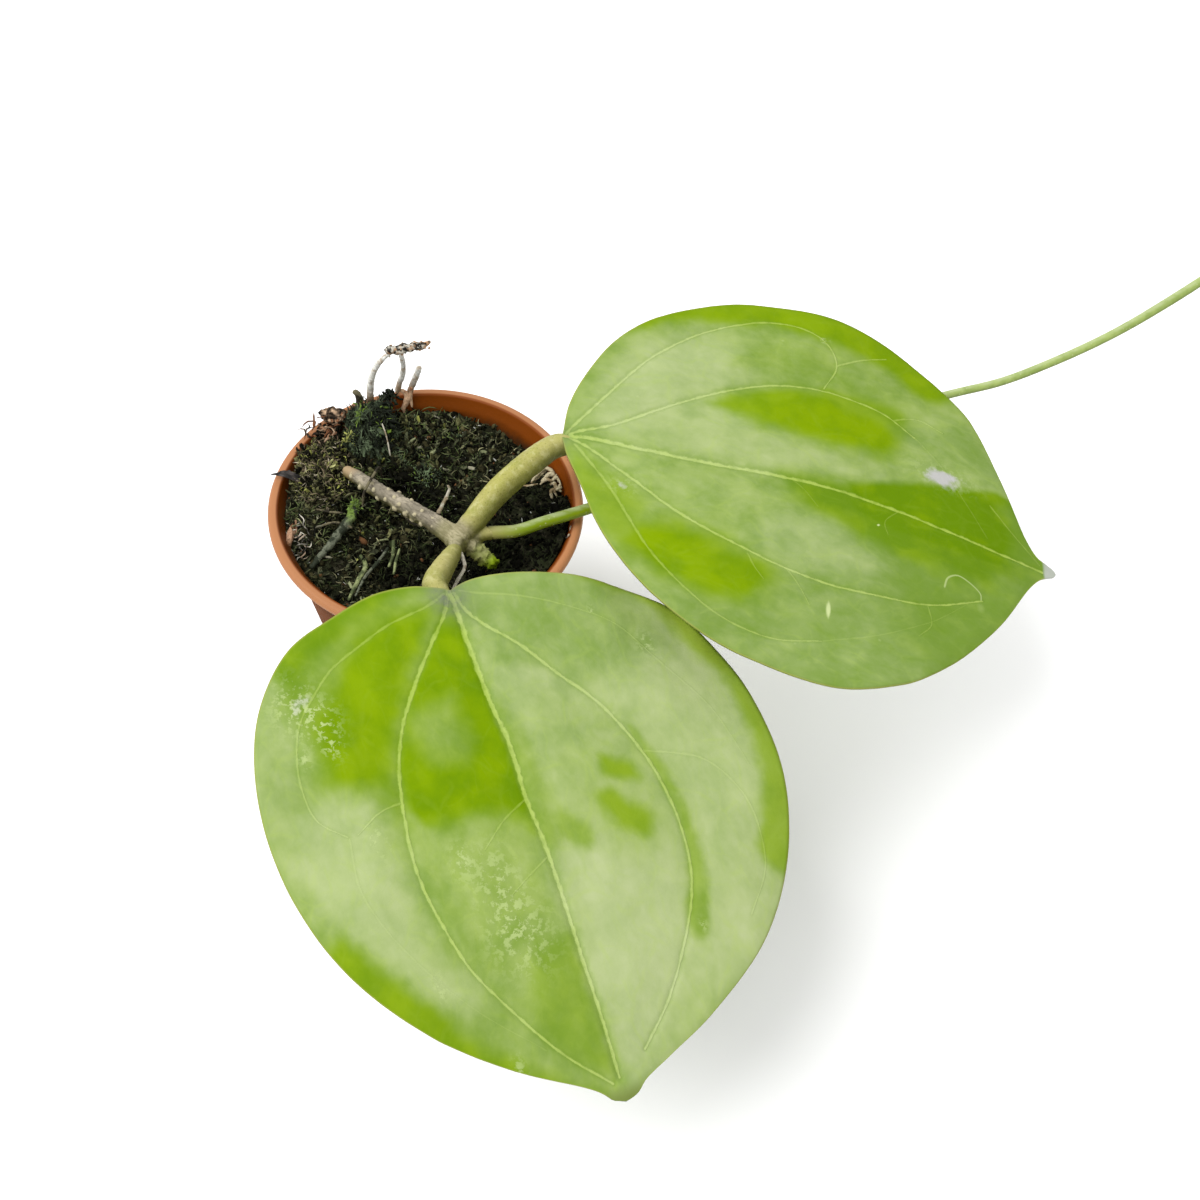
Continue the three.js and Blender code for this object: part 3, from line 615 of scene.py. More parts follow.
def bark_material(name, settings):
    """Stem and petioles: grey-brown bark that turns to olive skin where the attribute skin rises."""
    material, n = new_material(name, settings.bark_colour)
    place = n.place()
    skin = n.attribute("skin")
    mottle = n.mottle(place, 190)
    grain_way = {"Vector": place, "Rotation": (0, 0, math.radians(-35)), "Scale": (4, 1, 1)}
    lying = n.add("ShaderNodeMapping", grain_way, vector_type="TEXTURE").outputs["Vector"]
    fibres = n.cloud(lying, 1500, 4, 0.65)
    bark = n.blend(mottle, toned(settings.bark_colour, 0.7), toned(settings.bark_colour, 1.35))
    bark = n.blend(n.span(fibres, 0.38, 0.56, 0.6, 0), bark, toned(settings.bark_colour, 0.3))
    bark = n.blend(n.attribute("worn"), bark, (0.19, 0.135, 0.065))
    rind = n.blend(mottle, toned(settings.petiole_colour, 0.9), toned(settings.petiole_colour, 1.15))
    rind = n.blend(n.attribute("pale_skin"), rind, settings.petiole_pale_colour)
    rind = n.blend(n.span(n.cloud(place, 130, 3), 0.45, 0.68, 0, 0.45), rind, (0.115, 0.13, 0.014))
    rind = n.blend(n.span(n.cloud(place, 480, 3, 0.6), 0.5, 0.7, 0, 0.4), rind, (0.33, 0.31, 0.14))
    dots = n.specks(place, 1250, 0.6, 0.3)
    rind = n.blend(n.times(dots, 0.4), rind, toned(settings.petiole_colour, 0.4))
    web = n.span(n.cells(place, 1000, "DISTANCE_TO_EDGE"), 0.03, 0.16, 0.3, 0)
    rind = n.blend(web, rind, settings.petiole_pale_colour)
    colour = n.blend(skin, bark, rind)
    colour = n.blend(n.attribute("green"), colour, settings.shoot_colour)
    # Painted light and shade: the limbs are lighter on their lit side and darker on the far side; the front
    # petiole is painted darker.
    bleach = n.blend(n.span(n.attribute("bleached"), -0.4, 0.95), (0.5, 0.54, 0.3), (1.5, 1.53, 1.8))
    colour = n.blend(1, colour, bleach, "MULTIPLY")
    colour = n.blend(n.span(n.attribute("lenticel"), 0.25, 0.8, 0, 0.85), colour, (0.36, 0.32, 0.2))
    relief = n.grain(lying, 900)
    n.surface(colour, n.span(skin, 0, 1, 0.75, 0.5), n.bump(relief, 0.0006, 0.6), Specular_IOR_Level=0.12)
    return material


def shoot_material(settings):
    material, n = new_material("green_shoot", settings.shoot_colour)
    place = n.place()
    along = n.attribute("along")
    mottle = n.mottle(place, 160)
    young = n.blend(mottle, settings.shoot_far_colour, toned(settings.shoot_far_colour, 0.85))
    colour = n.blend(n.span(along, 0.12, 0.5), settings.shoot_colour, young)
    colour = n.blend(n.times(mottle, 0.25), colour, settings.leaf_deep_colour)
    # Pale wax on the upper side: partly a waxy bloom, partly a painted highlight.
    wax_and_highlight = n.cloud(n.stretched(place, (0.4, 1, 1)), 700, 3)
    upper = n.attribute("upper")
    wax_and_highlight = n.times(n.span(wax_and_highlight, 0.3, 0.65, 0.3, 1), n.span(upper, 0.3, 0.95, 0, 0.75))
    # Painted shade: the underside of the shoot is made darker.
    colour = n.blend(n.span(upper, -0.7, 0.3, 0.5, 0), colour, toned(settings.shoot_colour, 0.4))
    colour = n.blend(wax_and_highlight, colour, (0.34, 0.39, 0.2))
    colour = n.blend(n.span(along, 0.026, 0.07, 0.9, 0), colour, settings.petiole_pale_colour)
    dots = n.specks(place, 900, 0.3, 0.25)
    colour = n.blend(n.times(dots, 0.5), colour, (0.42, 0.46, 0.26))
    relief = n.grain(place, 600)
    n.surface(colour, 0.4, n.bump(relief, 0.0003, 0.5), Specular_IOR_Level=0.15)
    return material


def tone_material(name, dark, light, roughness=0.9, shine=0.06, tint=None, spread=1):
    """Loose bits: each copy has its own tone between a dark and a light colour, and its own tint.

    A spread above 1 leaves more of the copies dark; the near-black copies in the mix and moss are
    partly painted shade between the bits.
    """
    material, n = new_material(name, light)
    place = n.place()
    tone = n.attribute("tone")
    grain = n.grain(place, 1400)
    tone = n.plus(tone, n.span(grain, 0.3, 0.7, -0.15, 0.15), clamp=True)
    colour = n.blend(n.maths("POWER", tone, spread), dark, light)
    if tint is not None:
        colour = n.blend(n.attribute("tint"), colour, tint)
    n.surface(colour, roughness, n.bump(grain, 0.0004, 0.6), Specular_IOR_Level=shine)
    return material


def mix_material(settings):
    material, n = new_material("growing_mix", settings.colour)
    place = n.place()
    mottle = n.mottle(place, 150)
    crumbs = n.cells(place, 900, output="Color")
    grain = n.grain(place, 700)
    colour = n.blend(mottle, settings.colour, settings.moss_film_colour)
    pick = n.add("ShaderNodeSeparateColor", {0: crumbs}).outputs[0]
    colour = n.blend(n.span(pick, 0.82, 0.9, 0, 0.5), colour, (0.06, 0.056, 0.036))
    # Painted shade: the low parts of the relief are made near black.
    colour = n.blend(n.span(grain, 0.35, 0.55, 0.85, 0), colour, (0.0015, 0.0015, 0.001))
    n.surface(colour, 0.85, n.bump(grain, 0.0012, 0.9), Specular_IOR_Level=0.05)
    return material


# Shapes

def link(thing):
    bpy.context.scene.collection.objects.link(thing)


def to_piece(bm, name, materials, nodes=()):
    """Make a piece of the plant from a bmesh in millimetres."""
    bmesh.ops.scale(bm, vec=(MM, MM, MM), verts=bm.verts)
    mesh = bpy.data.meshes.new(name)
    bm.to_mesh(mesh)
    bm.free()
    return mesh_piece(mesh, name, materials, nodes)


def mesh_piece(mesh, name, materials, nodes=()):
    for material in materials:
        mesh.materials.append(material)
    mesh.shade_smooth()
    piece = bpy.data.objects.new(name, mesh)
    link(piece)
    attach(piece, "root")
    if nodes:
        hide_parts(*nodes)
    return piece


def points_of(source):
    """The vertices of a bmesh, or of a list of them, as an array."""
    return np.array([v.co[:] for v in getattr(source, "verts", source)])


def put_points(verts, points):
    for vert, point in zip(verts, points.tolist()):
        vert.co = point


def lumps(points, size, octaves=3, seed=0.0):
    """Fractal noise at each point, about -1 to 1, with bumps of the given size."""
    spots = points / size + seed
    return np.array([noise.fractal(Vector(p), 0.8, 2.0, octaves) for p in spots.tolist()])


def unit(vectors):
    return vectors / np.maximum(np.linalg.norm(vectors, axis=-1, keepdims=True), 1e-12)


def smooth_path(points, count):
    """Evenly spaced points on the smooth curve through the given ones."""
    knots = np.array(points, float)
    knots = np.vstack([2 * knots[0] - knots[1], knots, 2 * knots[-1] - knots[-2]])
    fine = []
    share = np.linspace(0, 1, 40, endpoint=False)[:, None]
    for before, start, end, after in zip(knots, knots[1:], knots[2:], knots[3:]):
        a, b, c = (max(np.linalg.norm(q - p) ** 0.5, 1e-4)
                   for p, q in ((before, start), (start, end), (end, after)))
        leave = ((start - before) / a - (end - before) / (a + b) + (end - start) / b) * b
        arrive = ((end - start) / b - (after - start) / (b + c) + (after - end) / c) * b
        cubic = 2 * start - 2 * end + leave + arrive
        square = -3 * start + 3 * end - 2 * leave - arrive
        fine.append(cubic * share ** 3 + square * share ** 2 + leave * share + start)
    fine = np.vstack([*fine, knots[-2:-1]])
    reach = np.concatenate([[0], np.cumsum(np.linalg.norm(np.diff(fine, axis=0), axis=1))])
    even = np.linspace(0, reach[-1], count)
    return np.stack([np.interp(even, reach, fine[:, k]) for k in range(fine.shape[1])], 1), reach[-1]


def path_frames(path):
    """Two directions across a path at each of its points, turned as little as possible."""
    ahead = unit(np.gradient(path, axis=0))
    side = np.cross(ahead[0], (0, 0, 1) if abs(ahead[0][2]) < 0.9 else (1, 0, 0))
    sides = []
    for direction in ahead:
        side = unit(side - direction * np.dot(side, direction))
        sides.append(side)
    sides = np.array(sides)
    return sides, np.cross(ahead, sides)


def grid(bm, columns, rows):
    """A flat grid: its vertices, and how far along and across each one lies, from 0 to 1."""
    verts = bmesh.ops.create_grid(bm, x_segments=columns, y_segments=rows, size=0.5)["verts"]
    place = points_of(verts)[:, :2] + 0.5
    return verts, place[:, 0], place[:, 1]


def radius_at(radii, share):
    """Radius at a share of a limb's length, from radii that are evenly spaced along it."""
    return np.interp(share, np.linspace(0, 1, len(radii)), radii)


def add_tube(bm, points, radii, sides=12, spacing=0.5, bumps=0.0, seed=0.0):
    """A round-ended tube along a smooth path, made from a grid wrapped round it."""
    length = smooth_path(points, 8)[1]
    steps = max(8, int(length / spacing))
    path, length = smooth_path(points, steps + 1)
    reach = np.linspace(0, length, steps + 1)
    radius = radius_at(radii, np.linspace(0, 1, steps + 1))
    for end in (reach, length - reach):
        near = np.clip(end / radius, 0, 1)
        radius = radius * np.sqrt(np.clip(1 - (1 - near) ** 2, 0, 1))
    across, up = path_frames(path)
    verts, along, around = grid(bm, steps, sides)
    step = np.rint(along * steps).astype(int)
    angle = around * 2 * math.pi
    out = across[step] * np.cos(angle)[:, None] + up[step] * np.sin(angle)[:, None]
    size = radius[step]
    if bumps:
        size = size * (1 + bumps * lumps(path[step] + out * size[:, None], 1.6, 3, seed))
    put_points(verts, path[step] + out * size[:, None])
    return verts


def close_up(bm, gap=0.01):
    """Merge seams and poles and turn all faces outwards."""
    bmesh.ops.remove_doubles(bm, verts=bm.verts, dist=gap)
    bmesh.ops.dissolve_degenerate(bm, edges=bm.edges, dist=gap / 10)
    bmesh.ops.recalc_face_normals(bm, faces=bm.faces)


def set_attribute(mesh, name, values, kind="FLOAT"):
    layer = mesh.attributes.new(name, kind, "POINT")
    field = "value" if kind == "FLOAT" else "vector"
    layer.data.foreach_set(field, np.ascontiguousarray(values, dtype=np.float32).ravel())


def set_values(mesh, **fields):
    for name, values in fields.items():
        set_attribute(mesh, name, values)


def mesh_points(mesh):
    flat = np.empty(len(mesh.vertices) * 3, np.float32)
    mesh.vertices.foreach_get("co", flat)
    return flat.reshape(-1, 3).astype(float)


def rounded(share):
    """A smooth step from 0 to 1."""
    share = np.clip(share, 0, 1)
    return share * share * (3 - 2 * share)


# Pot

def arc(centre, radius, start, end, count):
    angles = np.radians(np.linspace(start, end, count))
    return [(centre[0] + radius * math.cos(a), centre[1] + radius * math.sin(a)) for a in angles]


def build_pot(settings):
    rim = settings.rim_radius / MM
    top = settings.height / MM
    base = settings.base_radius / MM
    wall = settings.wall / MM
    neck = rim - BEAD_RADIUS - LIP_OVERHANG
    corner = (base - wall - FLOOR_CORNER_RADIUS, FLOOR_THICKNESS + FLOOR_CORNER_RADIUS)
    profile = [(0, 0), (base - 4, 0), *arc((base - FOOT_RADIUS, FOOT_RADIUS), FOOT_RADIUS, -90, -8, 5)]
    profile += [(neck - 0.15, top - 5), (neck, top - 3.2), (neck + 0.4, top - 2.9)]
    profile += arc((rim - BEAD_RADIUS, top - BEAD_RADIUS), BEAD_RADIUS, -75, 88, 12)
    profile += arc((rim - BEAD_RADIUS - 0.9, top - LIP_EDGE_RADIUS), LIP_EDGE_RADIUS, 92, 178, 6)
    profile += [(neck - wall + 0.5, top - 3.2), (neck - wall, top - 4.4)]
    profile += [*arc(corner, FLOOR_CORNER_RADIUS, 0, -90, 5), (0, FLOOR_THICKNESS)]
    bm = bmesh.new()
    verts = [bm.verts.new((r, 0, z)) for r, z in profile]
    edges = [bm.edges.new(pair) for pair in zip(verts, verts[1:])]
    bmesh.ops.subdivide_edges(bm, edges=[e for e in edges if e.calc_length() > 12], cuts=5)
    bmesh.ops.spin(bm, geom=bm.verts[:] + bm.edges[:], cent=(0, 0, 0), axis=(0, 0, 1), dvec=(0, 0, 0),
                   angle=2 * math.pi, steps=settings.sides, use_merge=True)
    close_up(bm)
    piece = to_piece(bm, "nursery_pot", [pot_material(settings)], ["pot"])
    cutter = bmesh.new()
    for index in range(settings.holes):
        angle = (index + 0.5) * 2 * math.pi / settings.holes
        spot = Vector((DRAIN_CIRCLE * math.cos(angle), DRAIN_CIRCLE * math.sin(angle), 1)) * MM
        bmesh.ops.create_cone(cutter, cap_ends=True, segments=DRAIN_SIDES, radius1=settings.hole_radius,
                              radius2=settings.hole_radius, depth=0.008, matrix=Matrix.Translation(spot))
    carve(piece, cutter)


def carve(piece, cutter):
    """Cut one shape out of a piece for good."""
    mesh = bpy.data.meshes.new("cutter")
    cutter.to_mesh(mesh)
    cutter.free()
    tool = bpy.data.objects.new("cutter", mesh)
    link(tool)
    cut = piece.modifiers.new("holes", "BOOLEAN")
    cut.object = tool
    cut.operation = "DIFFERENCE"
    cut.solver = "EXACT"
    freeze(piece)
    bpy.data.objects.remove(tool)
    bpy.data.meshes.remove(mesh)


def freeze(piece):
    """Apply the modifiers of a piece to its mesh."""
    graph = bpy.context.evaluated_depsgraph_get()
    final = bpy.data.meshes.new_from_object(piece.evaluated_get(graph))
    old = piece.data
    piece.modifiers.clear()
    piece.data = final
    final.name = piece.name
    bpy.data.meshes.remove(old)


# Growing mix

def mix_level(x, y, settings):
    level = np.full(np.shape(x), settings.level / MM)
    for centre_x, centre_y, spread, rise in MOUNDS:
        level = level + rise * np.exp(-((x - centre_x) ** 2 + (y - centre_y) ** 2) / (2 * spread ** 2))
    return level


def mix_height(points, settings):
    """Height of the mix's rough surface under each point, in millimetres."""
    flat = np.c_[points[:, :2], np.zeros(len(points))]
    return mix_level(points[:, 0], points[:, 1], settings) + 1.3 * lumps(flat, 7.0, 5) - 0.6


def widened(points):
    """Spread points outwards with their height, as the pot widens upwards."""
    wider = 1 + 0.0043 * np.clip(points[:, 2] - 70, 0, 9)
    return np.c_[points[:, :2] * wider[:, None], points[:, 2]]


def build_mix(settings, pot):
    base = (pot.base_radius - pot.wall) / MM - 1.0
    level = settings.level / MM
    profile = [(MIX_EDGE * k / MIX_RINGS, level) for k in range(MIX_RINGS + 1)]
    profile += [(MIX_EDGE - 0.4 - (MIX_EDGE - base) * k / 6, level - 2 - (level - 2 - MIX_BOTTOM) * k / 6)
                for k in range(7)]
    profile += [(0, MIX_BOTTOM)]
    bm = bmesh.new()
    verts = [bm.verts.new((r, 0, z)) for r, z in profile]
    for pair in zip(verts, verts[1:]):
        bm.edges.new(pair)
    bmesh.ops.spin(bm, geom=bm.verts[:] + bm.edges[:], cent=(0, 0, 0), axis=(0, 0, 1), dvec=(0, 0, 0),
                   angle=2 * math.pi, steps=MIX_STEPS, use_merge=True)
    close_up(bm)
    points = points_of(bm)
    top = points[:, 2] > level - 1
    points[top, 2] = mix_height(points[top], settings)
    points[top, 2] += 0.5 * lumps(points[top], 1.3, 3, 5.0)
    put_points(bm.verts, widened(points))
    to_piece(bm, "growing_mix_body", [mix_material(settings)], ["growing_mix"])


def bit_shapes(kind):
    """Small shapes that are copied many times: a few variants of one kind, each a few dozen faces."""
    shapes = []
    for variant in range(4):
        bm = bmesh.new()
        if kind == "crumb":
            bmesh.ops.create_icosphere(bm, subdivisions=1, radius=0.5)
            points = points_of(bm)
            points *= (1 + 0.45 * lumps(points, 0.5, 2, variant * 3.1))[:, None]
            put_points(bm.verts, points * (1.0, 0.75, 0.6))
        elif kind == "fibre":
            verts, along, around = grid(bm, 4, 4)
            bend = 0.12 + 0.1 * variant
            centre = np.c_[along - 0.5, bend * np.sin(math.pi * along), 0.05 * np.sin(5 * along + variant)]
            thick = 0.045 * np.sqrt(np.clip(1 - (2 * along - 1) ** 4, 0, 1))
            angle = 2 * math.pi * around
            put_points(verts, centre + np.c_[0 * angle, np.cos(angle), np.sin(angle)] * thick[:, None])
            bmesh.ops.remove_doubles(bm, verts=bm.verts, dist=1e-4)
        elif kind == "plate":
            verts, along, across = grid(bm, 4, 2)
            width = (0.24 + 0.05 * variant) * np.sin(math.pi * (0.08 + 0.84 * along)) ** 0.8
            aside = 2 * across - 1
            height = (0.1 + 0.05 * variant) * aside ** 2 - 0.35 * (along - 0.4) ** 2
            put_points(verts, np.c_[along, aside * width, height + 0.04 * np.sin(7 * along + variant)])
            bmesh.ops.solidify(bm, geom=bm.faces[:], thickness=0.045)
        else:
            bmesh.ops.create_icosphere(bm, subdivisions=1, radius=0.5)
            points = points_of(bm)
            width = 0.16 + 0.03 * variant
            arch = 0.25 * (points[:, 0] + 0.5) ** 2
            flat = np.c_[points[:, 0], points[:, 1] * 2 * width, points[:, 2] * 0.12 - arch]
            put_points(bm.verts, flat + np.array([0.5, 0, 0]))
        bmesh.ops.triangulate(bm, faces=bm.faces)
        bmesh.ops.recalc_face_normals(bm, faces=bm.faces)
        faces = np.array([[v.index for v in f.verts] for f in bm.faces])
        shapes.append((points_of(bm), faces))
        bm.free()
    return shapes


def scatter(name, kind, places, ways, sizes, tones, materials, random, tints=None):
    """One piece made of many small copies, each laid at its place along its own direction."""
    shapes = bit_shapes(kind)
    chosen = random.integers(0, len(shapes), len(places))
    spin = random.uniform(0, 2 * math.pi, len(places))
    all_points, all_faces, all_tones, all_tints = [], [], [], []
    start = 0
    for variant, (points, faces) in enumerate(shapes):
        mine = np.flatnonzero(chosen == variant)
        if not len(mine):
            continue
        ahead = unit(ways[mine])
        helper = np.where(np.abs(ahead[:, 2:3]) < 0.9, [[0.0, 0.0, 1.0]], [[1.0, 0.0, 0.0]])
        side = unit(np.cross(ahead, helper))
        up = np.cross(side, ahead)
        turn_cos, turn_sin = np.cos(spin[mine])[:, None], np.sin(spin[mine])[:, None]
        side, up = side * turn_cos + up * turn_sin, up * turn_cos - side * turn_sin
        axes = np.stack([ahead, side, up], 1) * sizes[mine][:, :, None]
        placed = np.einsum("pk,nkc->npc", points, axes) + places[mine][:, None, :]
        all_points.append(placed.reshape(-1, 3))
        count = len(points)
        offset = start + np.arange(len(mine))[:, None, None] * count
        all_faces.append((faces[None] + offset).reshape(-1, 3))
        all_tones.append(np.repeat(tones[mine], count))
        all_tints.append(np.repeat(tints[mine] if tints is not None else np.zeros(len(mine)), count))
        start += count * len(mine)
    mesh = bpy.data.meshes.new(name)
    mesh.from_pydata(np.vstack(all_points) * MM, [], np.vstack(all_faces))
    mesh.update()
    set_values(mesh, tone=np.concatenate(all_tones), tint=np.concatenate(all_tints))
    mesh_piece(mesh, name, materials)


def disc_places(random, count, radius):
    angle = random.uniform(0, 2 * math.pi, count)
    away = radius * np.sqrt(random.uniform(0, 1, count))
    return np.c_[away * np.cos(angle), away * np.sin(angle), np.zeros(count)]


def lying_ways(random, count, lift=0.35):
    angle = random.uniform(0, 2 * math.pi, count)
    return np.c_[np.cos(angle), np.sin(angle), random.uniform(-lift, lift, count)]


def mound_share(places):
    """How mossy the mix is at a place: 1 on the mound at the left and back, 0 at the right."""
    near = np.exp(-((places[:, 0] + 24) ** 2 + (places[:, 1] - 12) ** 2) / (2 * 17 ** 2))
    back = np.exp(-((places[:, 0] + 10) ** 2 + (places[:, 1] - 30) ** 2) / (2 * 12 ** 2))
    return np.clip(near + back, 0, 1)


BLACK = (0.002, 0.002, 0.001)
# Pools of painted shade, where the mix is painted black near the stem, petioles and leaves:
# place and spread in millimetres
SHADE_POOLS = [
    (-11, 11, 3.5), (-5, 9, 3.5), (2, 6, 4), (10, 2, 5), (28, 10, 6), (30, -9, 8), (22, -3, 4), (2, -16, 5),
    (22, -22, 8), (-6, -20, 4), (39, -4, 6), (36, 2, 5), (36, -16, 6),
]


# How much each place lies in the pools of painted shade, from 0 to 1.
def shade_share(places):
    total = sum(np.exp(-((places[:, 0] - x) ** 2 + (places[:, 1] - y) ** 2) / (2 * spread ** 2))
                for x, y, spread in SHADE_POOLS)
    return np.clip(total, 0, 1)


def patchy(random, places, base, spread=0.5, size=4.5, seed=0.0):
    """Tones from 0 to 1 that vary in patches over the places."""
    tones = base + spread * lumps(places, size, 2, seed) + random.normal(0, 0.13, len(places))
    return np.clip(tones, 0, 1)


def strewn(random, settings, count, radius, lift):
    """Places all over the mix, lifted a little above it."""
    places = disc_places(random, count, radius)
    places[:, 2] = mix_height(places, settings) + random.uniform(*lift, count)
    return widened(places)


def build_mix_surface(settings):
    random = np.random.default_rng(settings.seed)
    crumb = tone_material("crumb", BLACK, (0.16, 0.145, 0.062), 0.85, 0.04, (0.15, 0.07, 0.03), 2.35)
    fibre = tone_material("fibre", (0.003, 0.003, 0.002), (0.5, 0.46, 0.26), 0.8, 0.04,
                          (0.1, 0.14, 0.045), 2.6)
    flake = tone_material("flake", BLACK, (0.25, 0.27, 0.14), 0.7, 0.05, (0.4, 0.38, 0.27), 2.35)
    fleck = tone_material("fleck", (0.2, 0.2, 0.17), (0.5, 0.51, 0.47), 0.7, 0.3)

    count = settings.crumbs
    places = strewn(random, settings, count, 39.2, (-0.2, 0.5))
    sizes = random.lognormal(0.25, 0.4, count)[:, None] * random.uniform(0.8, 1.25, (count, 3))
    # Painted shade: crumbs in the shade pools are made near black.
    tones = patchy(random, places, 0.36) * (1 - 0.97 * shade_share(places))
    tints = (random.uniform(0, 1, count) < 0.03) * random.uniform(0.3, 0.8, count)
    scatter("mix_crumbs", "crumb", places, lying_ways(random, count, 1.0), sizes, tones, [crumb],
            random, tints)

    count = settings.flakes
    places = strewn(random, settings, count, 38.8, (0.1, 1.0))
    # Painted shade: flakes in the shade pools are made smaller and near black.
    unshaded = 1 - shade_share(places)
    length = random.uniform(1.0, 2.7, count) * (0.55 + 0.45 * unshaded)
    sizes = np.c_[length * 1.15, length * random.uniform(0.4, 0.95, count), length]
    tones = patchy(random, places, 0.4, 0.6, 3.5, 4.0) * (0.06 + 0.94 * unshaded)
    tints = (random.uniform(0, 1, count) < 0.02 * unshaded) * random.uniform(0.3, 0.8, count)
    scatter("mix_flakes", "plate", places, lying_ways(random, count, 0.6), sizes, tones, [flake],
            random, tints)

    count = settings.fibres
    places = disc_places(random, count, 38.6)
    mossy = mound_share(places)
    places[:, 2] = mix_height(places, settings) + random.uniform(0.2, 1.3, count)
    places = widened(places)
    length = random.uniform(1.4, 4.2, count) * (1 + 0.5 * mossy)
    thick = random.uniform(1.8, 4.0, count)
    sizes = np.c_[length, thick, thick]
    # Painted shade: fibres in the shade pools are made near black.
    tones = patchy(random, places, 0.36, 0.6, 3.0, 8.0) * (1 - 0.9 * shade_share(places))
    tints = random.uniform(0, 1, count) * np.clip(mossy + 0.2, 0, 1)
    scatter("mix_fibres", "fibre", places, lying_ways(random, count), sizes, tones, [fibre],
            random, tints)

    count = settings.flecks
    places = disc_places(random, count, 38)
    places[:, 2] = mix_height(places, settings) + 0.8
    size = random.uniform(0.35, 0.85, count)[:, None] * random.uniform(0.6, 1.1, (count, 3)) * (2.2, 0.8, 0.7)
    scatter("white_flecks", "crumb", places, lying_ways(random, count), size, random.uniform(0, 1, count),
            [fleck], random)


# Moss: centre and half size of each clump, and the way its bits lean
CLUMPS = {
    "moss_clump_back": ((-20, 27, 78.2), (6.4, 9.2, 6.2), (0.35, -0.5, -0.5)),
    "moss_clump_left": ((-31.5, 9, 76.4), (7.5, 12, 5.4), (0, 0, 0)),
    "moss_pad": ((-3.5, 15.5, 72.6), (4.5, 4, 2.2), (0, 0, 0)),
}
# What grows on each clump: kind, material, how many, shortest and longest in millimetres, base
# tone, tinted share
MOSS_LAYERS = {
    "moss_clump_back": [
        ("leaflet", "leafy", 1300, 0.7, 1.9, 0.34, 0.03),
        ("plate", "leafy", 260, 1.6, 3.4, 0.34, 0.03), ("fibre", "leafy", 1300, 2.5, 7.5, 0.5, 0.03),
    ],
    "moss_clump_left": [
        ("leaflet", "olive", 1200, 0.8, 1.9, 0.34, 0.1),
        ("plate", "olive", 260, 1.4, 3.0, 0.4, 0.1), ("fibre", "shag", 1000, 2.2, 6.0, 0.34, 0.15),
        ("fibre", "olive", 700, 2.0, 5.0, 0.42, 0.12),
    ],
    "moss_pad": [("leaflet", "leafy", 620, 0.8, 1.6, 0.7, 0.05)],
}
# Tufts: kind, material, place, spread, how many, shortest and longest, tint, darkest and lightest tone
TUFTS = [
    ("leaflet", "leafy", (-22.7, 28.5, 84.3), (0.8, 3.0, 0.7), 80, 1.0, 2.2, 0.75, 0.2, 1),
    ("leaflet", "leafy", (-20.4, -2.6, 79), (1.3, 1.8, 0.4), 110, 1.0, 2.2, 0.8, 0.2, 1),
    ("leaflet", "olive", (-25.4, 20, 82.2), (1.0, 1.9, 0.6), 60, 1.0, 2.4, 0.9, 0.5, 1),
    ("leaflet", "olive", (-35.5, 15.5, 80), (1.6, 3.4, 0.6), 90, 0.9, 2.2, 0.9, 0.2, 1),
    ("leaflet", "olive", (-27, 8, 80), (4, 4, 0.7), 70, 0.9, 2.0, 0.6, 0.2, 1),
    ("leaflet", "leafy", (-34, 2, 77.5), (3, 4, 0.6), 60, 0.9, 2.0, 0.4, 0.2, 1),
    ("fibre", "leafy", (-13, 20.5, 76), (3.4, 3.6, 0.8), 260, 1.6, 4.4, 0.1, 0.4, 1),
    ("fibre", "leafy", (-17.5, 32, 82), (3, 3.6, 1.4), 120, 3.0, 6.5, 0.0, 0.0, 0.4),
    ("plate", "leafy", (-16.4, 39.2, 80.4), (2.3, 1.3, 0.4), 40, 1.4, 2.8, 0.0, 0.0, 0.4),
    ("plate", "olive", (-31, 22, 79.6), (3.2, 2.6, 0.8), 90, 1.6, 3.4, 0.0, 0.0, 0.15),
]


def add_lump(bm, centre, half, rough, seed, subdivisions=5):
    verts = bmesh.ops.create_icosphere(bm, subdivisions=subdivisions, radius=1)["verts"]
    ball = points_of(verts)
    half = np.array(half, float)
    out = ball * (1 + rough * lumps(ball * half, 0.45 * half.min() + 1.0, 5, seed))[:, None]
    placed = np.array(centre, float) + out * half
    put_points(verts, placed)
    return placed, unit(ball / half)


def keep_in_pot(points, reach=39.6):
    """Pull points inside the pot's wall back into it."""
    away = np.hypot(points[:, 0], points[:, 1])
    inside = points[:, 2] < 79
    factor = np.where(inside & (away > reach), reach / np.maximum(away, 1e-6), 1.0)
    return np.c_[points[:, :2] * factor[:, None], points[:, 2]]


def bit_sizes(random, kind, low, high, count):
    """Length and thickness of loose bits of one kind."""
    length = random.uniform(low, high, count)
    if kind == "fibre":
        thick = random.uniform(1.6, 3.6, count)
        return np.c_[length, thick, thick]
    return np.c_[length, length * random.uniform(0.4, 0.85, count), length]


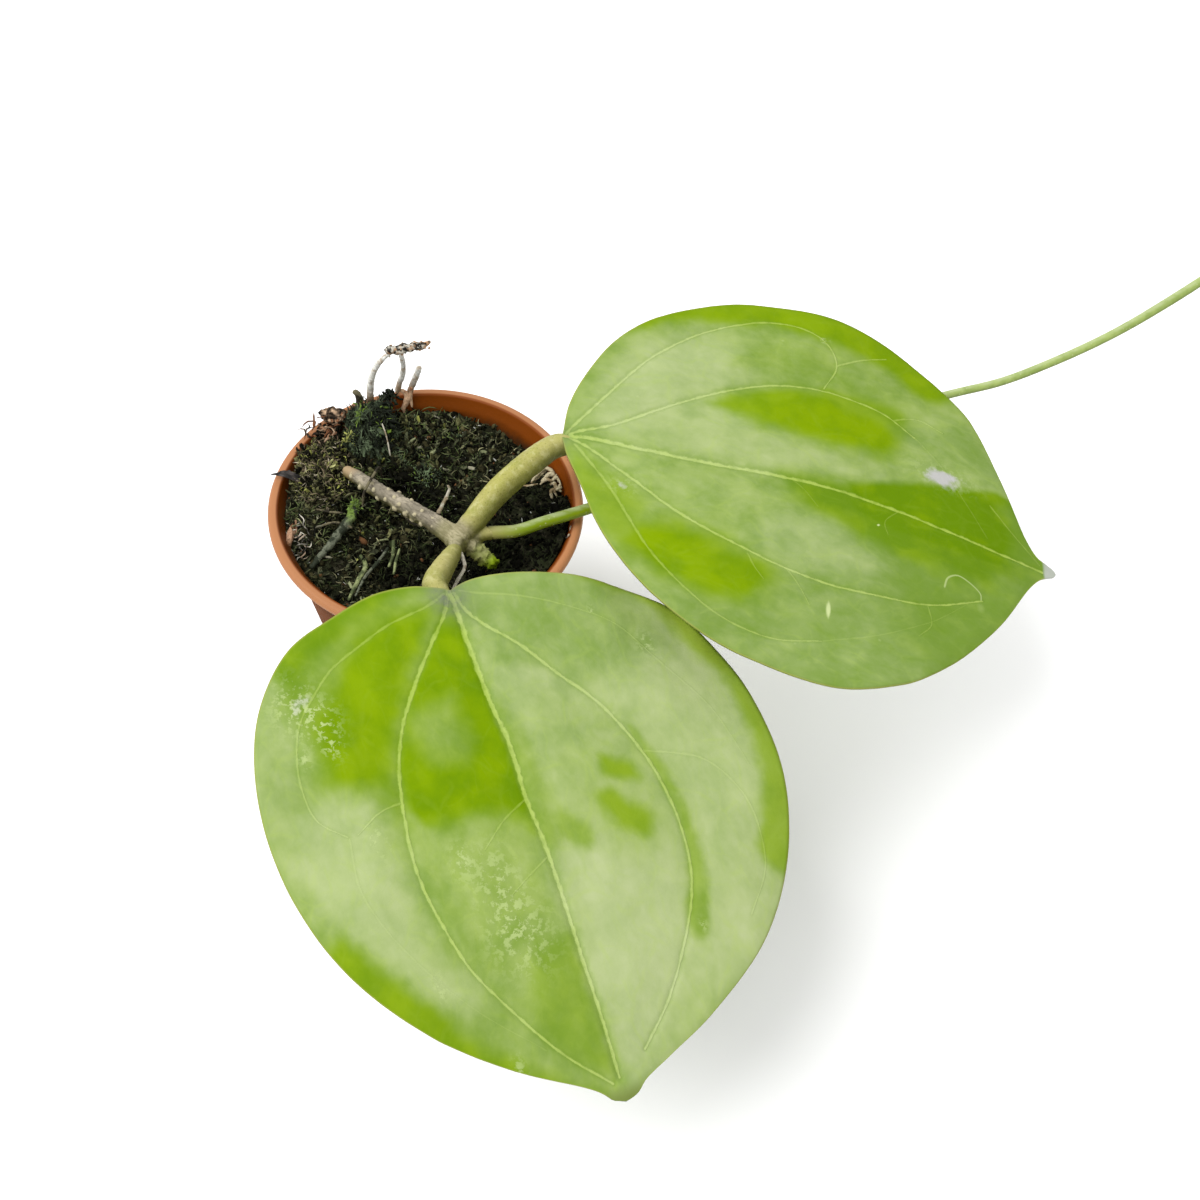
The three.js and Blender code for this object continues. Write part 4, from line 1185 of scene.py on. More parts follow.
def build_moss(settings):
    random = np.random.default_rng(settings.seed + 1)
    # Painted shade: the body of each clump is near black, standing for the shade between its moss bits.
    body = tone_material("moss_body", BLACK, (0.012, 0.015, 0.006), 0.95)
    kinds = {
        "leafy": tone_material("moss_leafy", (0.002, 0.003, 0.001), (0.16, 0.215, 0.115), 0.6, 0.12,
                               (0.18, 0.28, 0.035), 2.1),
        "olive": tone_material("moss_olive", (0.003, 0.003, 0.001), (0.36, 0.36, 0.15), 0.7, 0.08,
                               (0.36, 0.38, 0.09), 2.4),
        "shag": tone_material("moss_shag", (0.004, 0.003, 0.002), (0.45, 0.36, 0.22), 0.8, 0.06,
                              (0.5, 0.44, 0.32), 1.9),
    }
    for index, (name, (centre, half, lean)) in enumerate(CLUMPS.items()):
        bm = bmesh.new()
        places, out = add_lump(bm, centre, half, 0.34, 11.0 + index * 5)
        put_points(bm.verts, keep_in_pot(points_of(bm)))
        piece = to_piece(bm, name + "_body", [body], [name])
        set_attribute(piece.data, "tone", np.full(len(piece.data.vertices), 0.3))
        upper = np.flatnonzero(out[:, 2] > -0.35)
        for kind, finish, count, low, high, base, tinted in MOSS_LAYERS[name]:
            pick = random.choice(upper, count)
            spots = keep_in_pot(places[pick], 39.0) + random.normal(0, 0.25, (count, 3))
            ways = out[pick] * (0.4 if kind == "fibre" else 0.8) + random.normal(0, 0.55, (count, 3)) + lean
            tones = patchy(random, spots, base, 0.6, 3.6, index * 3.0)
            tints = (random.uniform(0, 1, count) < tinted) * random.uniform(0.2, 1, count)
            scatter(f"{name}_{kind}", kind, spots, ways, bit_sizes(random, kind, low, high, count), tones,
                    [kinds[finish]], random, tints)
    count = settings.leaflets
    for kind, finish, low, high in (("leaflet", "leafy", 1.0, 2.2), ("plate", "olive", 1.2, 3.2)):
        places = disc_places(random, count * 3, 38)
        keep = random.uniform(0, 1, len(places)) < mound_share(places) ** 1.5
        places = places[keep][:count]
        places[:, 2] = mix_height(places, settings) + 0.4
        ways = random.normal(0, 0.8, (len(places), 3)) + (0, 0, 0.5)
        # Painted shade: moss bits in the shade pools are made darker.
        tones = patchy(random, places, 0.26, 0.6, 4.0, 2.0) * (1 - 0.8 * shade_share(places))
        tints = (random.uniform(0, 1, len(places)) < 0.04) * random.uniform(0.2, 0.8, len(places))
        sizes = bit_sizes(random, kind, low, high, len(places))
        scatter(f"moss_on_mound_{kind}", kind, places, ways, sizes, tones, [kinds[finish]],
                random, tints)
    for index, (kind, finish, centre, spread, count, low, high, tint, dark, light) in enumerate(TUFTS):
        spots = np.array(centre) + random.normal(0, 0.6, (count, 3)) * spread
        ways = random.normal(0, 0.8, (count, 3)) + (0, 0, 0.3)
        tints = tint * random.uniform(0.2, 1, count)
        sizes = bit_sizes(random, kind, low, high, count)
        tones = random.uniform(dark, light, count)
        scatter(f"moss_tuft_{index + 1}", kind, keep_in_pot(spots), ways, sizes, tones, [kinds[finish]],
                random, tints)


# Stem, petioles and side bud

def nearest_on_paths(points, paths):
    """For each point: which path is nearest and how far along it."""
    best = np.full(len(points), 1e9)
    which = np.zeros(len(points), int)
    along = np.zeros(len(points))
    for index, (path, radii) in enumerate(paths):
        for k, (spot, radius) in enumerate(zip(path, radii)):
            away = np.linalg.norm(points - spot, axis=1) - radius
            closer = away < best
            best[closer] = away[closer]
            which[closer] = index
            along[closer] = k / (len(path) - 1)
    return which, along


def wart_field(points):
    """How much each point belongs to one of the stem's warts, from 0 to 1."""
    stem, radii = STEM_LIMBS["main_stem"]
    path = smooth_path(stem, 100)[0]
    ahead = unit(np.gradient(path, axis=0))
    front = unit(np.cross(ahead, (0, 0, 1)))
    above = np.cross(front, ahead)
    field = np.zeros(len(points))
    for share, angle, size in STEM_WARTS:
        k = int(share * (len(path) - 1))
        turn = math.radians(angle)
        radius = radius_at(radii, share)
        spot = path[k] + radius * (math.cos(turn) * above[k] + math.sin(turn) * front[k])
        field = np.maximum(field, rounded(1.6 - np.linalg.norm(points - spot, axis=1) / size))
    return field


def build_stem(settings):
    bm = bmesh.new()
    for index, (points, radii) in enumerate(STEM_LIMBS.values()):
        add_tube(bm, points, radii, 28, 0.5, 0.03, index * 7.0)
    close_up(bm)
    bmesh.ops.create_icosphere(bm, subdivisions=4, radius=NODE_RADIUS, matrix=Matrix.Translation(NODE_CENTRE))
    stub = smooth_path(VINE_POINTS, 300)[0][:13]
    add_tube(bm, [stub[0], stub[6], stub[12]], [2.5, 2.2, 1.65], 20, 0.5)
    close_up(bm)
    material = bark_material("stem_and_petioles", settings)
    piece = to_piece(bm, "stem_and_petioles", [material],
                     ["main_stem", "petiole_right", "petiole_front", "side_bud"])
    fuse = piece.modifiers.new("fuse", "REMESH")
    fuse.mode = "VOXEL"
    fuse.voxel_size = settings.voxel
    freeze(piece)
    mesh = piece.data
    bm = bmesh.new()
    bm.from_mesh(mesh)
    for _ in range(settings.smoothing):
        bmesh.ops.smooth_vert(bm, verts=bm.verts, factor=0.5, use_axis_x=True, use_axis_y=True,
                              use_axis_z=True)
    bm.normal_update()
    points = points_of(bm) / MM
    normals = np.array([v.normal[:] for v in bm.verts])
    paths = []
    for limb_points, radii in STEM_LIMBS.values():
        path = smooth_path(limb_points, 60)[0]
        paths.append((path, radius_at(radii, np.linspace(0, 1, 60))))
    paths.append((stub, np.full(len(stub), 2.4)))
    which, along = nearest_on_paths(points, paths)
    from_node = np.linalg.norm(points - np.array(NODE_CENTRE), axis=1)
    right, front, bud, shoot = (which == k for k in (1, 2, 3, 4))
    skin = np.where(right, rounded((from_node - 3) / 5), 0)
    skin = np.where(front, rounded((from_node - 5.0) / 3), skin)
    skin = np.where(shoot, rounded((from_node - 4.5) / 3), skin)
    skin = np.where(bud, 0.3, skin)
    skin = np.maximum(skin, 0.3 * rounded((9 - from_node) / 4))
    pale_right = np.maximum(0.8 * (1 - along) ** 3, 0.95 * along ** 2)
    pale_skin = np.where(front, 0.75, np.where(shoot, 0.9, np.where(right, pale_right, 0)))
    pale_skin = np.where(bud, 0.8 * (1 - along), pale_skin)
    pale_skin = np.maximum(pale_skin, 0.9 * rounded((9 - from_node) / 5))
    green = np.where(bud, 0.25 * rounded((along - 0.3) / 0.2) + 0.75 * rounded((along - 0.62) / 0.25), 0)

    rough = lumps(points, 2.2, 4)
    fine = lumps(points, 0.8, 3, 9.0)
    bark = 1 - skin
    warts = wart_field(points)
    lenticel = np.maximum(warts, 0.7 * rounded((lumps(points, 1.2, 1, 31.0) - 0.42) / 0.16) * (which == 0)
                          * rounded((from_node - 5) / 4))
    shift = bark * (0.3 * rough + 0.14 * fine) + skin * 0.07 * rough + 0.3 * lenticel + 0.35 * warts
    collar = np.exp(-((from_node - 6.0) / 0.9) ** 2) * front
    shift = shift - 0.35 * collar
    shift = shift + np.where(bud, 0.75 * rounded((lumps(points, 1.25, 1, 50.0) - 0.05) / 0.25) - 0.2, 0)
    put_points(bm.verts, (points + normals * shift[:, None]) * MM)
    bm.to_mesh(mesh)
    bm.free()
    broken_end = np.array(STEM_LIMBS["main_stem"][0][0])
    worn = rounded((7 - np.linalg.norm(points - broken_end, axis=1)) / 4)
    # How far each point faces the lit side, for the painted light and shade; the front petiole counts as more
    # shaded.
    bleached = normals @ np.array(PAINTED_LIGHT_SIDE) - 0.28 * front
    set_values(mesh, skin=skin, pale_skin=pale_skin, green=green, lenticel=lenticel, bleached=bleached,
               worn=worn)
    mesh.shade_smooth()


def build_vine(settings):
    bm = bmesh.new()
    add_tube(bm, VINE_POINTS, VINE_RADII, 20, 0.6, 0.02, 3.0)
    close_up(bm)
    piece = to_piece(bm, "climbing_shoot", [shoot_material(settings)], ["vine"])
    points = mesh_points(piece.data) / MM
    path = smooth_path(VINE_POINTS, 500)[0]
    nearest = np.zeros(len(points))
    for start in range(0, len(points), CHUNK):
        part = points[start:start + CHUNK]
        nearest[start:start + CHUNK] = np.argmin(np.linalg.norm(part[:, None] - path[None], axis=2), axis=1)
    nearest = nearest.astype(int)
    set_attribute(piece.data, "along", nearest / (len(path) - 1))
    radius = radius_at(VINE_RADII, nearest / (len(path) - 1))
    # How far each point faces the lit side, for the shoot's painted light and shade.
    set_attribute(piece.data, "upper", (points - path[nearest]) @ np.array(PAINTED_LIGHT_SIDE) / radius)


# Leaves

def margin_curve(length, margin, share):
    """Points of the leaf's margin for shares of its way round, on a smooth curve through the given ones."""
    path = smooth_path([(0, 0), *margin, (length, 0)], 600)[0]
    return np.stack([np.interp(share, np.linspace(0, 1, len(path)), path[:, k]) for k in (0, 1)], 1)


def line_field(plane, points, half_width, taper=0.45):
    """Offset from a line, overshoot past its ends and its half width there, for each point of the leaf."""
    path = smooth_path(points, 160)[0]
    ahead = unit(np.gradient(path, axis=0))
    field = np.zeros((len(plane), 3))
    for start in range(0, len(plane), CHUNK):
        part = plane[start:start + CHUNK]
        nearest = np.argmin(((part[:, None] - path[None]) ** 2).sum(2), axis=1)
        offset = part - path[nearest]
        tangent = ahead[nearest]
        field[start:start + CHUNK, 0] = tangent[:, 0] * offset[:, 1] - tangent[:, 1] * offset[:, 0]
        past = (offset * tangent).sum(1)
        past = np.where(nearest == 0, -past, np.where(nearest == len(path) - 1, past, 0))
        field[start:start + CHUNK, 1] = np.maximum(past, 0)
        field[start:start + CHUNK, 2] = half_width * (1 - taper * nearest / (len(path) - 1))
    return field


def patch_mask(plane, outline, softness):
    """1 inside a closed outline and 0 outside, with a soft and slightly ruffled edge."""
    path = smooth_path([*outline, outline[0]], 9 * len(outline))[0]
    start, way = path[:-1], np.diff(path, axis=0)
    squares = (way ** 2).sum(1)
    inside = np.zeros(len(plane), bool)
    away = np.zeros(len(plane))
    for first in range(0, len(plane), CHUNK):
        part = plane[first:first + CHUNK, None] - start[None]
        share = np.clip((part * way).sum(2) / squares, 0, 1)
        away[first:first + CHUNK] = np.linalg.norm(part - share[..., None] * way, axis=2).min(1)
        spans = (part[..., 1] < 0) != (part[..., 1] < way[:, 1])
        slope = way[:, 0] / np.where(way[:, 1] == 0, 1e-9, way[:, 1])
        crossed = spans & (part[..., 0] < part[..., 1] * slope)
        inside[first:first + CHUNK] = crossed.sum(1) % 2 == 1
    depth = np.where(inside, away, -away)
    depth += 0.4 * softness * lumps(np.c_[plane, np.zeros(len(plane))], 4 + softness, 3, len(outline))
    return rounded(0.5 + depth / (2 * softness))


def spots_field(plane, spots):
    """Sum of soft ellipses, each given as centre, half sizes and strength."""
    total = np.zeros(len(plane))
    for x, y, half_x, half_y, strength in spots:
        squared = ((plane[:, 0] - x) / half_x) ** 2 + ((plane[:, 1] - y) / half_y) ** 2
        total += strength * np.exp(-0.7 * squared)
    return total


def build_leaf(name, settings):
    leaf = LEAVES[name]
    length = leaf["length"]
    bm = bmesh.new()
    verts, share, row = grid(bm, settings.leaf_columns, settings.leaf_rows)
    across = 2 * row - 1
    across = np.sign(across) * np.abs(across) ** 1.15
    plane = np.zeros((len(verts), 2))
    edge = np.zeros(len(verts))
    cup = np.zeros(len(verts))
    middle = np.mean([margin_curve(length, leaf[side][1], share)[:, 0] for side in ("left", "right")], axis=0)
    for sign, (side_cup, margin) in ((1, leaf["left"]), (-1, leaf["right"])):
        mine = across * sign >= 0
        outline = margin_curve(length, margin, share[mine])
        t = np.abs(across[mine])
        even = length * share[mine]
        spine = even + rounded((share[mine] - 0.55) / 0.4) * (middle[mine] - even)
        plane[mine, 0] = spine * (1 - t ** 2) + outline[:, 0] * t ** 2
        plane[mine, 1] = sign * t * np.maximum(outline[:, 1], 0)
        edge[mine] = np.minimum((1 - t) * np.maximum(outline[:, 1], 0),
                                0.9 * np.minimum(share[mine], 1 - share[mine]) * length + 4 * (1 - t))
        cup[mine] = side_cup
    x, y = plane.T

    fields = []
    relief = np.zeros(len(plane))
    nearest = np.full(len(plane), 99.0)
    for points, width, depth, _ in leaf["veins"]:
        field = line_field(plane, points, width / 2)
        away = np.hypot(field[:, 0], field[:, 1])
        relief -= depth * np.exp(-(away / (0.55 + 0.5 * width)) ** 2)
        if depth > 0.2:
            nearest = np.minimum(nearest, away)
        fields.append(field)
    flat = np.c_[plane, np.zeros(len(plane))]
    relief += settings.puff / MM * (1 - np.exp(-(nearest / 9) ** 2))
    relief += 0.5 * lumps(flat, 26.0, 2, 3.0) + 0.10 * lumps(flat, 7.0, 3, 8.0)
    relief -= 0.3 * np.exp(-(edge / 2.0) ** 2)
    wave = rounded((abs(y) - 30) / 30) * rounded(x / 20)
    relief += wave * 0.9 * np.sin(x / 11 + np.sign(y) * 1.3)
    z = cup * (y / 70) ** 2 - leaf["droop"] * (x / length) ** 2 + relief + settings.leaf_thickness / MM / 2

    heading, pitch, roll = (math.radians(a) for a in leaf["turn"])
    pose = (Matrix.Translation(leaf["base"]) @ Matrix.Rotation(heading, 4, "Z")
            @ Matrix.Rotation(pitch, 4, "Y") @ Matrix.Rotation(roll, 4, "X"))
    put_points(verts, np.c_[x, y, z])
    bmesh.ops.transform(bm, matrix=pose, verts=bm.verts)

    tip_colour, tip_length, tip_blend = leaf["tip"]
    front = leaf_material(name, settings, tip_colour, len(fields), len(leaf["scratches"]))
    back = leaf_back_material(name + "_back", settings, len(fields))
    piece = to_piece(bm, name + "_blade", [front, back], [name])
    mesh = piece.data
    for index, field in enumerate(fields):
        set_attribute(mesh, f"vein_{index}", field, "FLOAT_VECTOR")
        points, _, _, strength = leaf["veins"][index]
        set_attribute(mesh, f"vein_{index}_strength", np.full(len(plane), strength))
    for index, points in enumerate(leaf["scratches"]):
        set_attribute(mesh, f"scratch_{index}", line_field(plane, points, 0.28, 0.3), "FLOAT_VECTOR")
    # The bloom attribute is partly waxy bloom and partly painted sheen.
    bloom, depth = np.full(len(plane), 0.38), np.full(len(plane), 0.5)
    for outline, softness, patch_bloom, patch_depth in leaf["patches"]:
        mask = patch_mask(plane, outline, softness)
        bloom += mask * (patch_bloom - bloom)
        depth += mask * (patch_depth - depth)
    set_values(mesh, bloom=bloom, depth=depth)
    for field in ("residue", "scars", "flecks", "smudge", "lit"):
        set_attribute(mesh, field, np.clip(spots_field(plane, leaf[field]), 0, 1))
    set_values(mesh, edge=edge, tip=rounded((x - length + tip_length) / tip_blend))
    uv = mesh.uv_layers.new(name="leaf_plane")
    corner = np.empty(len(mesh.loops), np.int32)
    mesh.loops.foreach_get("vertex_index", corner)
    uv.data.foreach_set("uv", (plane[corner] / 100).astype(np.float32).ravel())

    body = piece.vertex_groups.new(name="body")
    thickness = 0.3 + 0.7 * rounded(edge / 5)
    for index, weight in enumerate(thickness.tolist()):
        body.add((index,), weight, "REPLACE")
    wall = piece.modifiers.new("thickness", "SOLIDIFY")
    wall.thickness = settings.leaf_thickness
    wall.offset = -1
    wall.vertex_group = "body"
    wall.thickness_vertex_group = 0.05
    wall.material_offset = 1
    wall.material_offset_rim = 0
    wall.use_quality_normals = True
    freeze(piece)
    seal(piece)


def seal(piece, gap=0.00001):
    """Merge the doubles of a piece's mesh."""
    bm = bmesh.new()
    bm.from_mesh(piece.data)
    bmesh.ops.remove_doubles(bm, verts=bm.verts, dist=gap)
    bmesh.ops.dissolve_degenerate(bm, edges=bm.edges, dist=gap / 10)
    bm.to_mesh(piece.data)
    bm.free()
    piece.data.shade_smooth()


# Roots: material, points and radii in millimetres

ROOTS = {
    "aerial_root_upright": ("pale_root", [(4.6, -9.2, 87), (5.9, -7.6, 89.5), (7.0, -6, 92),
        (7.5, -5.2, 93.6), (7.0, -5.2, 95)], [0.75, 0.5, 0.45, 0.4, 0.25]),
    "aerial_root_side": ("dark_root", [(3.2, -8.4, 83), (-0.5, -7.4, 79), (-3.8, -5, 76.5),
        (-6.4, -1.6, 75.5)], [0.6, 0.5, 0.4, 0.3]),
    "aerial_root_curled": ("pale_root", [(11.8, -21.5, 88), (13.4, -24.6, 88), (14.2, -27.4, 87.5),
        (12.8, -31.2, 86.5), (11.4, -33, 84)], [0.6, 0.55, 0.5, 0.45, 0.3]),
    "stem_ring_root": ("dark_root", [(-13.4, 6, 82), (-14.2, 5.7, 87), (-15.3, 2.2, 87.2),
        (-17.2, -2.4, 85.2), (-17.7, -3.8, 81)], [0.32, 0.36, 0.42, 0.4, 0.3]),
    "mossy_twig": ("mossy_twig", [(-20.2, -2.8, 79), (-20.9, -5.6, 77.8), (-23.5, -10.4, 76.3),
        (-25.6, -14.1, 75.2), (-28.1, -18, 74.1), (-30.1, -22, 73.4)], [1.3, 1.3, 1.25, 1.1, 0.8, 0.75]),
    "surface_root_front": ("green_root", [(-17.2, -15.5, 73.4), (-15.2, -18.5, 72.6), (-16.6, -24, 72),
        (-18.3, -30.5, 71.5)], [0.5, 0.75, 0.65, 0.4]),
    "surface_root_middle": ("green_root", [(-8.5, -9.7, 74), (-8, -14, 72.6), (-8.8, -18, 71.8)],
        [0.6, 0.5, 0.4]),
    "dry_root_left": ("dry_root", [(-21.5, 35.6, 81), (-20.6, 34.9, 90), (-19, 33.8, 97), (-16.2, 32.6, 103),
        (-13.5, 32.2, 106.5)], [0.95, 1.05, 0.95, 0.85, 0.6]),
    "dry_root_middle": ("dry_root", [(-13.9, 39.6, 82), (-12.9, 39.4, 86.5), (-11.7, 38.6, 91),
        (-11.1, 37.2, 97), (-10.9, 34.3, 103.6), (-10.8, 33.4, 106.6)], [0.85, 0.85, 0.8, 0.75, 0.75, 0.7]),
    "dry_root_short": ("dry_root", [(-10.5, 41.2, 80.4), (-9.8, 41, 83), (-8.5, 40.9, 87.4),
        (-6.9, 40.8, 92.8)], [0.9, 0.95, 0.95, 0.8]),
    "dry_hook": ("dark_root", [(-24.6, 32, 80.5), (-23.9, 32.8, 84), (-24.4, 33, 87), (-25.8, 33, 88.2)],
        [0.9, 1.1, 1.1, 0.8]),
    "inner_wall_root": ("rusty_root", [(-12.9, 39.6, 83.4), (-11.4, 39.6, 82), (-10.7, 39.2, 80.6),
        (-11.2, 38.7, 78.8), (-12, 38, 77), (-11.6, 37.6, 75.4)], [0.5, 0.85, 1.05, 0.95, 0.7, 0.4]),
}
# Base colour, patch colour, how much of the root the patches cover, and the colour at its foot with
# its length
ROOT_TONES = {
    "pale_root": ((0.4, 0.375, 0.3), (0.2, 0.16, 0.1), 0.22, (0.22, 0.18, 0.12), 1.5),
    "tan_root": ((0.46, 0.4, 0.26), (0.2, 0.145, 0.075), 0.3, (0.36, 0.3, 0.17), 1),
    "dry_root": ((0.66, 0.66, 0.61), (0.4, 0.34, 0.26), 0.2, (0.3, 0.2, 0.12), 6),
    "dark_root": ((0.12, 0.105, 0.06), (0.02, 0.017, 0.01), 0.5, (0.12, 0.105, 0.06), 1),
    "green_root": ((0.22, 0.25, 0.11), (0.06, 0.075, 0.03), 0.5, (0.1, 0.13, 0.04), 3),
    "mossy_twig": ((0.115, 0.125, 0.085), (0.02, 0.025, 0.014), 0.42, (0.13, 0.2, 0.035), 4.5),
    "rusty_root": ((0.52, 0.34, 0.21), (0.3, 0.14, 0.07), 0.3, (0.5, 0.33, 0.2), 1),
    "bark_chip": ((0.37, 0.22, 0.135), (0.16, 0.075, 0.035), 0.4, (0.3, 0.2, 0.11), 2),
}
# Finer strands that grow from the same places, without a node of their own
STRANDS = [
    ("pale_root", [(5.9, -7.6, 89.4), (6.6, -7.4, 91), (7.4, -7.4, 92)], [0.35, 0.3, 0.2]),
    ("mossy_twig", [(-9.5, -12, 73.4), (-12, -17.5, 72.8), (-14.6, -22, 72.2), (-16.6, -29, 71.6)],
     [0.4, 0.5, 0.45, 0.3]),
    ("green_root", [(-6.3, -12, 73.4), (-6.8, -16, 72.8), (-7, -20.5, 71.8)], [0.3, 0.45, 0.35]),
    ("rusty_root", [(-9.6, 40, 84.6), (-9.9, 39.4, 82), (-9.7, 38.8, 79.5), (-9.4, 38.2, 77.4)],
     [0.4, 0.55, 0.5, 0.3]),
    ("rusty_root", [(-26.8, 32.4, 80.8), (-25.9, 33, 81.8), (-25, 33.2, 82.4)], [0.5, 0.8, 0.5]),
    ("pale_root", [(-16, 24, 85.3), (-14.2, 20, 84.6), (-12.6, 15.8, 80.5)], [0.2, 0.22, 0.2]),
    ("dark_root", [(-34, -2, 76.5), (-29, -4.5, 78), (-23, -5.5, 79)], [0.3, 0.35, 0.3]),
    ("dark_root", [(-31, -9, 75.5), (-25, -8, 77.5), (-20, -9, 77)], [0.3, 0.4, 0.3]),
    ("bark_chip", [(-37, -4, 76), (-36.4, -8, 76.5), (-35.6, -12, 76)], [0.3, 0.4, 0.3]),
]


def root_material(kind):
    base, patch, share, foot, _ = ROOT_TONES[kind]
    material, n = new_material(kind, base)
    place = n.place()
    mottle = n.mottle(place, 320.0)
    lines = n.cloud(n.stretched(place, (1, 1, 0.25)), 2600.0, 3.0, 0.6)
    colour = n.blend(n.attribute("foot"), base, foot)
    colour = n.blend(n.span(mottle, 1 - share - 0.2, 1 - share + 0.2), colour, patch)
    colour = n.blend(n.span(lines, 0.35, 0.6, 0.45, 0.0), colour, toned(patch, 0.4))
    relief = n.grain(place, 900.0)
    n.surface(colour, 0.72, n.bump(relief, 0.0005, 0.7), Specular_IOR_Level=0.12)
    return material


def build_roots():
    materials = {kind: root_material(kind) for kind in ROOT_TONES}
    for index, (name, (kind, points, radii)) in enumerate(ROOTS.items()):
        bm = bmesh.new()
        thick = max(radii) > 1.2
        add_tube(bm, points, radii, 22 if thick else 12, 0.25, 0.3 if thick else 0.22, index * 4.0)
        close_up(bm)
        piece = to_piece(bm, name + "_strand", [materials[kind]], [name])
        reach = np.linalg.norm(mesh_points(piece.data) / MM - np.array(points[0]), axis=1)
        foot_length = ROOT_TONES[kind][-1]
        set_attribute(piece.data, "foot", rounded(1.5 - reach / foot_length))
    for index, (kind, points, radii) in enumerate(STRANDS):
        bm = bmesh.new()
        add_tube(bm, points, radii, 10, 0.3, 0.25, 60 + index * 4.0)
        close_up(bm)
        to_piece(bm, f"thin_strand_{index + 1}", [materials[kind]])
    build_tangle(materials["tan_root"])


# The knot of pale roots: points and middle radius of each of its curls
TANGLE = [
    ([(28.6, 15.2, 74.3), (30.2, 17.4, 76), (32.4, 19.6, 76.6), (34.4, 19, 76.4), (35.6, 16.8, 74.6)], 0.55),
    ([(29.6, 16.6, 73.8), (31.6, 18.4, 75.6), (33.4, 20.6, 75.2), (35.8, 18.8, 76.2), (36.6, 17, 75)], 0.45),
    ([(31.6, 16.2, 74), (34, 17.6, 76.4), (36.4, 16.6, 76.2), (37.2, 14.4, 77.4), (38.6, 12.4, 76.6)], 0.7),
    ([(34.2, 15.4, 74.4), (35.6, 14.2, 76.4), (36.4, 12.2, 76.6), (38, 10.6, 77.4)], 0.55),
    ([(31.2, 15.4, 73.8), (33.2, 16.2, 75.6), (34.6, 15.4, 76.2), (36.2, 15.8, 77.2), (37.8, 15, 76)], 0.5),
    ([(35.4, 9.4, 75), (35, 11.2, 76.4), (36.6, 12.4, 76.2), (37.6, 14, 77.2)], 0.6),
    ([(30.8, 15.4, 74.2), (28, 14.2, 74.4), (25.6, 14.8, 73.4)], 0.32),
    ([(35.4, 20, 74.4), (36.8, 18.4, 76), (36, 16.8, 77.2), (34.6, 16.2, 75.4)], 0.4),
    ([(37, 9.6, 75.6), (36, 10.8, 77.2), (37.4, 11.6, 77.6), (38.8, 13, 76.8)], 0.45),
]


def build_tangle(material):
    bm = bmesh.new()
    for index, (points, thick) in enumerate(TANGLE):
        radii = [thick * 0.6, *[thick] * (len(points) - 2), thick * 0.6]
        add_tube(bm, points, radii, 10, 0.25, 0.35, index * 3.0)
    close_up(bm)
    points = keep_in_pot(points_of(bm), 39.8)
    put_points(bm.verts, points)
    to_piece(bm, "root_tangle", [material], ["root_tangle_base"])


def on_mix(random, centre, spread, count, settings, lift=(0.2, 1.0)):
    """Places on the mix round a point."""
    places = np.c_[random.normal(0, 1, (count, 2)) * spread + np.array(centre), np.zeros(count)]
    places[:, 2] = mix_height(places, settings) + random.uniform(*lift, count)
    return places


# Pale blobs on the inside of the rim
RESIDUE = [
    (36.8, 21.9, 78), (38.2, 20.4, 79), (39, 18.2, 79.3), (39.2, 16.1, 78.5), (40.9, 11.5, 78),
    (41.6, -4.9, 79.2), (40.8, -7.8, 79.2),
]


